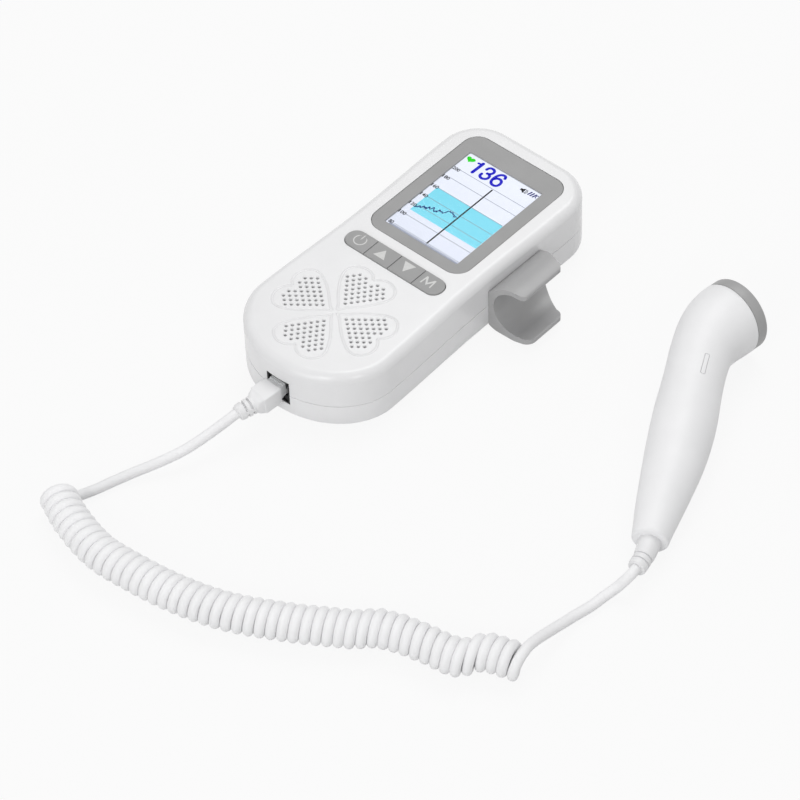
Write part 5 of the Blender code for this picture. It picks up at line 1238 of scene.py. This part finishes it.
def build_clip(paints):
    end_y, seat_gap = CLIP_START + CLIP_WIDTH, 0.00012
    rings = [[(x, y, z) for x, z in clip_section()] for y in (CLIP_START, end_y)]
    clip = loft("probe_clip_moulding", rings, paints["clip"])
    tip_x = CLIP_CENTRE_X + CLIP_OUTER_RADIUS * cos(CLIP_TIP_ANGLE)
    upper, lower = (CLIP_CENTRE_Z, BODY_THICKNESS + BEYOND), (-BEYOND, CLIP_CENTRE_Z)
    cutters = [
        arm_end(tip_x, CLIP_START, -1, CLIP_UPPER_NEAR_TAPER, *upper),
        arm_end(tip_x, end_y, 1, CLIP_UPPER_FAR_TAPER, *upper),
        arm_end(CLIP_LIP_EDGE, CLIP_START, -1, CLIP_LOWER_NEAR_TAPER, *lower),
        arm_end(CLIP_LIP_EDGE, end_y, 1, CLIP_LOWER_FAR_TAPER, *lower),
        loft("cut_clip_seat", prism(body_outline(-seat_gap), -BEYOND, BODY_THICKNESS + BEYOND)),
    ]
    for y in CLIP_SCREW_YS:
        ends = (END_RADIUS / 2, CLIP_CENTRE_X - CLIP_OUTER_RADIUS + 0.0016)
        rings = [[(x, y + dy, CLIP_SCREW_Z + dz) for dy, dz in circle((0, 0), PILOT_RADIUS, 16)] for x in ends]
        cutters.append(loft("cut_clip_hole", rings))
    cut(clip, *cutters)
    soften(clip, 0.0008, 4, 34)
    fit(clip, "grey_trim", "monitor", "probe_clip")


# Stage

FLOOR_REACH = 6.0
FLOOR_Z = -0.0002
FLOOR_GLOW = 0.9
ROOM_LIGHT = 0.52
LIGHT_DISTANCE = 1.5
LIGHT_AIM = (0.05, -0.06, 0.01)
SOFTBOXES = (  # name, direction that it shines from, size, power
    ("key_softbox", (-0.18, 0.46, 0.87), (0.9, 0.9), 8.8),
    ("front_softbox", (0.10, -1.0, 0.32), (1.0, 0.7), 5.1),
    ("rim_softbox_left", (0.24, -0.77, 0.59), (0.24, 0.24), 2.7),
    ("rim_softbox_right", (0.72, -0.35, 0.60), (0.22, 0.22), 1.7),
)


def build_stage():
    """A pale floor that keeps a soft shadow and is seen as white, and soft studio light from above and the left."""
    mesh_data = bmesh.new()
    corners = [(x * FLOOR_REACH, y * FLOOR_REACH, FLOOR_Z) for x, y in ((-1, -1), (1, -1), (1, 1), (-1, 1))]
    mesh_data.faces.new([mesh_data.verts.new(corner) for corner in corners])
    paint = Paint("pale_floor")
    paint.tree.nodes.remove(paint.shader)
    rays = paint.add("ShaderNodeLightPath").outputs
    seen = rays["Is Camera Ray"]
    for ray in ("Is Glossy Ray", "Is Transmission Ray"):
        either = paint.add("ShaderNodeMath", "MAXIMUM")
        paint.link(seen, either.inputs[0])
        paint.link(rays[ray], either.inputs[1])
        seen = either.outputs[0]
    matte = paint.add("ShaderNodeBsdfDiffuse")
    shades = paint.ramp(paint.noise(3, 3), ((0.3, (0.60, 0.60, 0.60)), (0.7, (0.64, 0.64, 0.64))))
    paint.link(shades, matte.inputs["Color"])
    glow = paint.add("ShaderNodeEmission", Strength=1.0)
    pale = mix(paint.tree, matte, glow)
    pale.inputs["Fac"].default_value = FLOOR_GLOW
    choice = mix(paint.tree, matte, pale)
    paint.link(seen, choice.inputs["Fac"])
    paint.link(choice.outputs[0], paint.tree.nodes["Material Output"].inputs["Surface"])
    floor = finish_mesh("floor", mesh_data, paint.material)
    for face in floor.data.polygons:
        face.use_smooth = False
    for name, direction, size, power in SOFTBOXES:
        softbox(name, direction, size, power)
    build_world()


def mix(tree, first, second):
    node = tree.nodes.new("ShaderNodeMixShader")
    for place, shader in enumerate((first, second), 1):
        tree.links.new(shader.outputs[0], node.inputs[place])
    return node


def build_world():
    """White room light; the camera itself sees pure white."""
    world = bpy.data.worlds.new("studio")
    bpy.context.scene.world = world
    world.use_nodes = True
    nodes, link = world.node_tree.nodes, world.node_tree.links.new
    room = nodes["Background"]
    room.inputs["Color"].default_value = (1, 1, 1, 1)
    room.inputs["Strength"].default_value = ROOM_LIGHT
    white = nodes.new("ShaderNodeBackground")
    white.inputs["Strength"].default_value = 1.0
    choice = mix(world.node_tree, room, white)
    link(nodes.new("ShaderNodeLightPath").outputs["Is Camera Ray"], choice.inputs["Fac"])
    link(choice.outputs[0], nodes["World Output"].inputs["Surface"])


def softbox(name, direction, size, power):
    light = bpy.data.lights.new(name, "AREA")
    light.shape = "RECTANGLE"
    light.size, light.size_y = size
    light.energy = power
    holder = add_object(name, light)
    away = Vector(direction).normalized()
    holder.location = Vector(LIGHT_AIM) + away * LIGHT_DISTANCE
    holder.rotation_euler = (-away).to_track_quat("-Z", "Y").to_euler()


def dress_nodes(paints):
    """Materials and softer edges for the solids that keep their own shape."""
    table = {
        "white": ("bottom_shell", "battery_cover"),
        "black": ("jack_housing", "speaker_magnet", "switch_power", "switch_up", "switch_down", "switch_mode",
                  "display_module"),
        "gold": ("jack_contacts",),
        "clear": ("plug_latch",),
        "steel": ("battery_bridge", "battery_contact_left", "battery_contact_right", "speaker_basket",
                  "clip_screw_1", "clip_screw_2", *[f"shell_screw_{number}" for number in (1, 2, 3, 4)]),
        "cone": ("speaker_cone",),
        "board": ("main_board", "probe_board"),
        "cell": ("battery_cell_left", "battery_cell_right"),
        "crystal": ("crystal_receive", "crystal_transmit"),
        "foam": ("crystal_backing",),
    }
    for paint, names in table.items():
        for name in names:
            repaint(name, paints[paint])
    for name in ("jack_housing", "battery_cover"):
        soften(NODES[name], 0.0002, 2)


def main():
    make_camera()
    paints = make_paints()
    build_stage()
    for build in (build_cord, build_top_shell, build_bezel, build_display, build_keys, build_probe, build_jack_collar,
                  build_plug, build_boot, build_clip, dress_nodes):
        build(paints)
    bpy.context.scene.view_settings.view_transform = "Standard"


main()
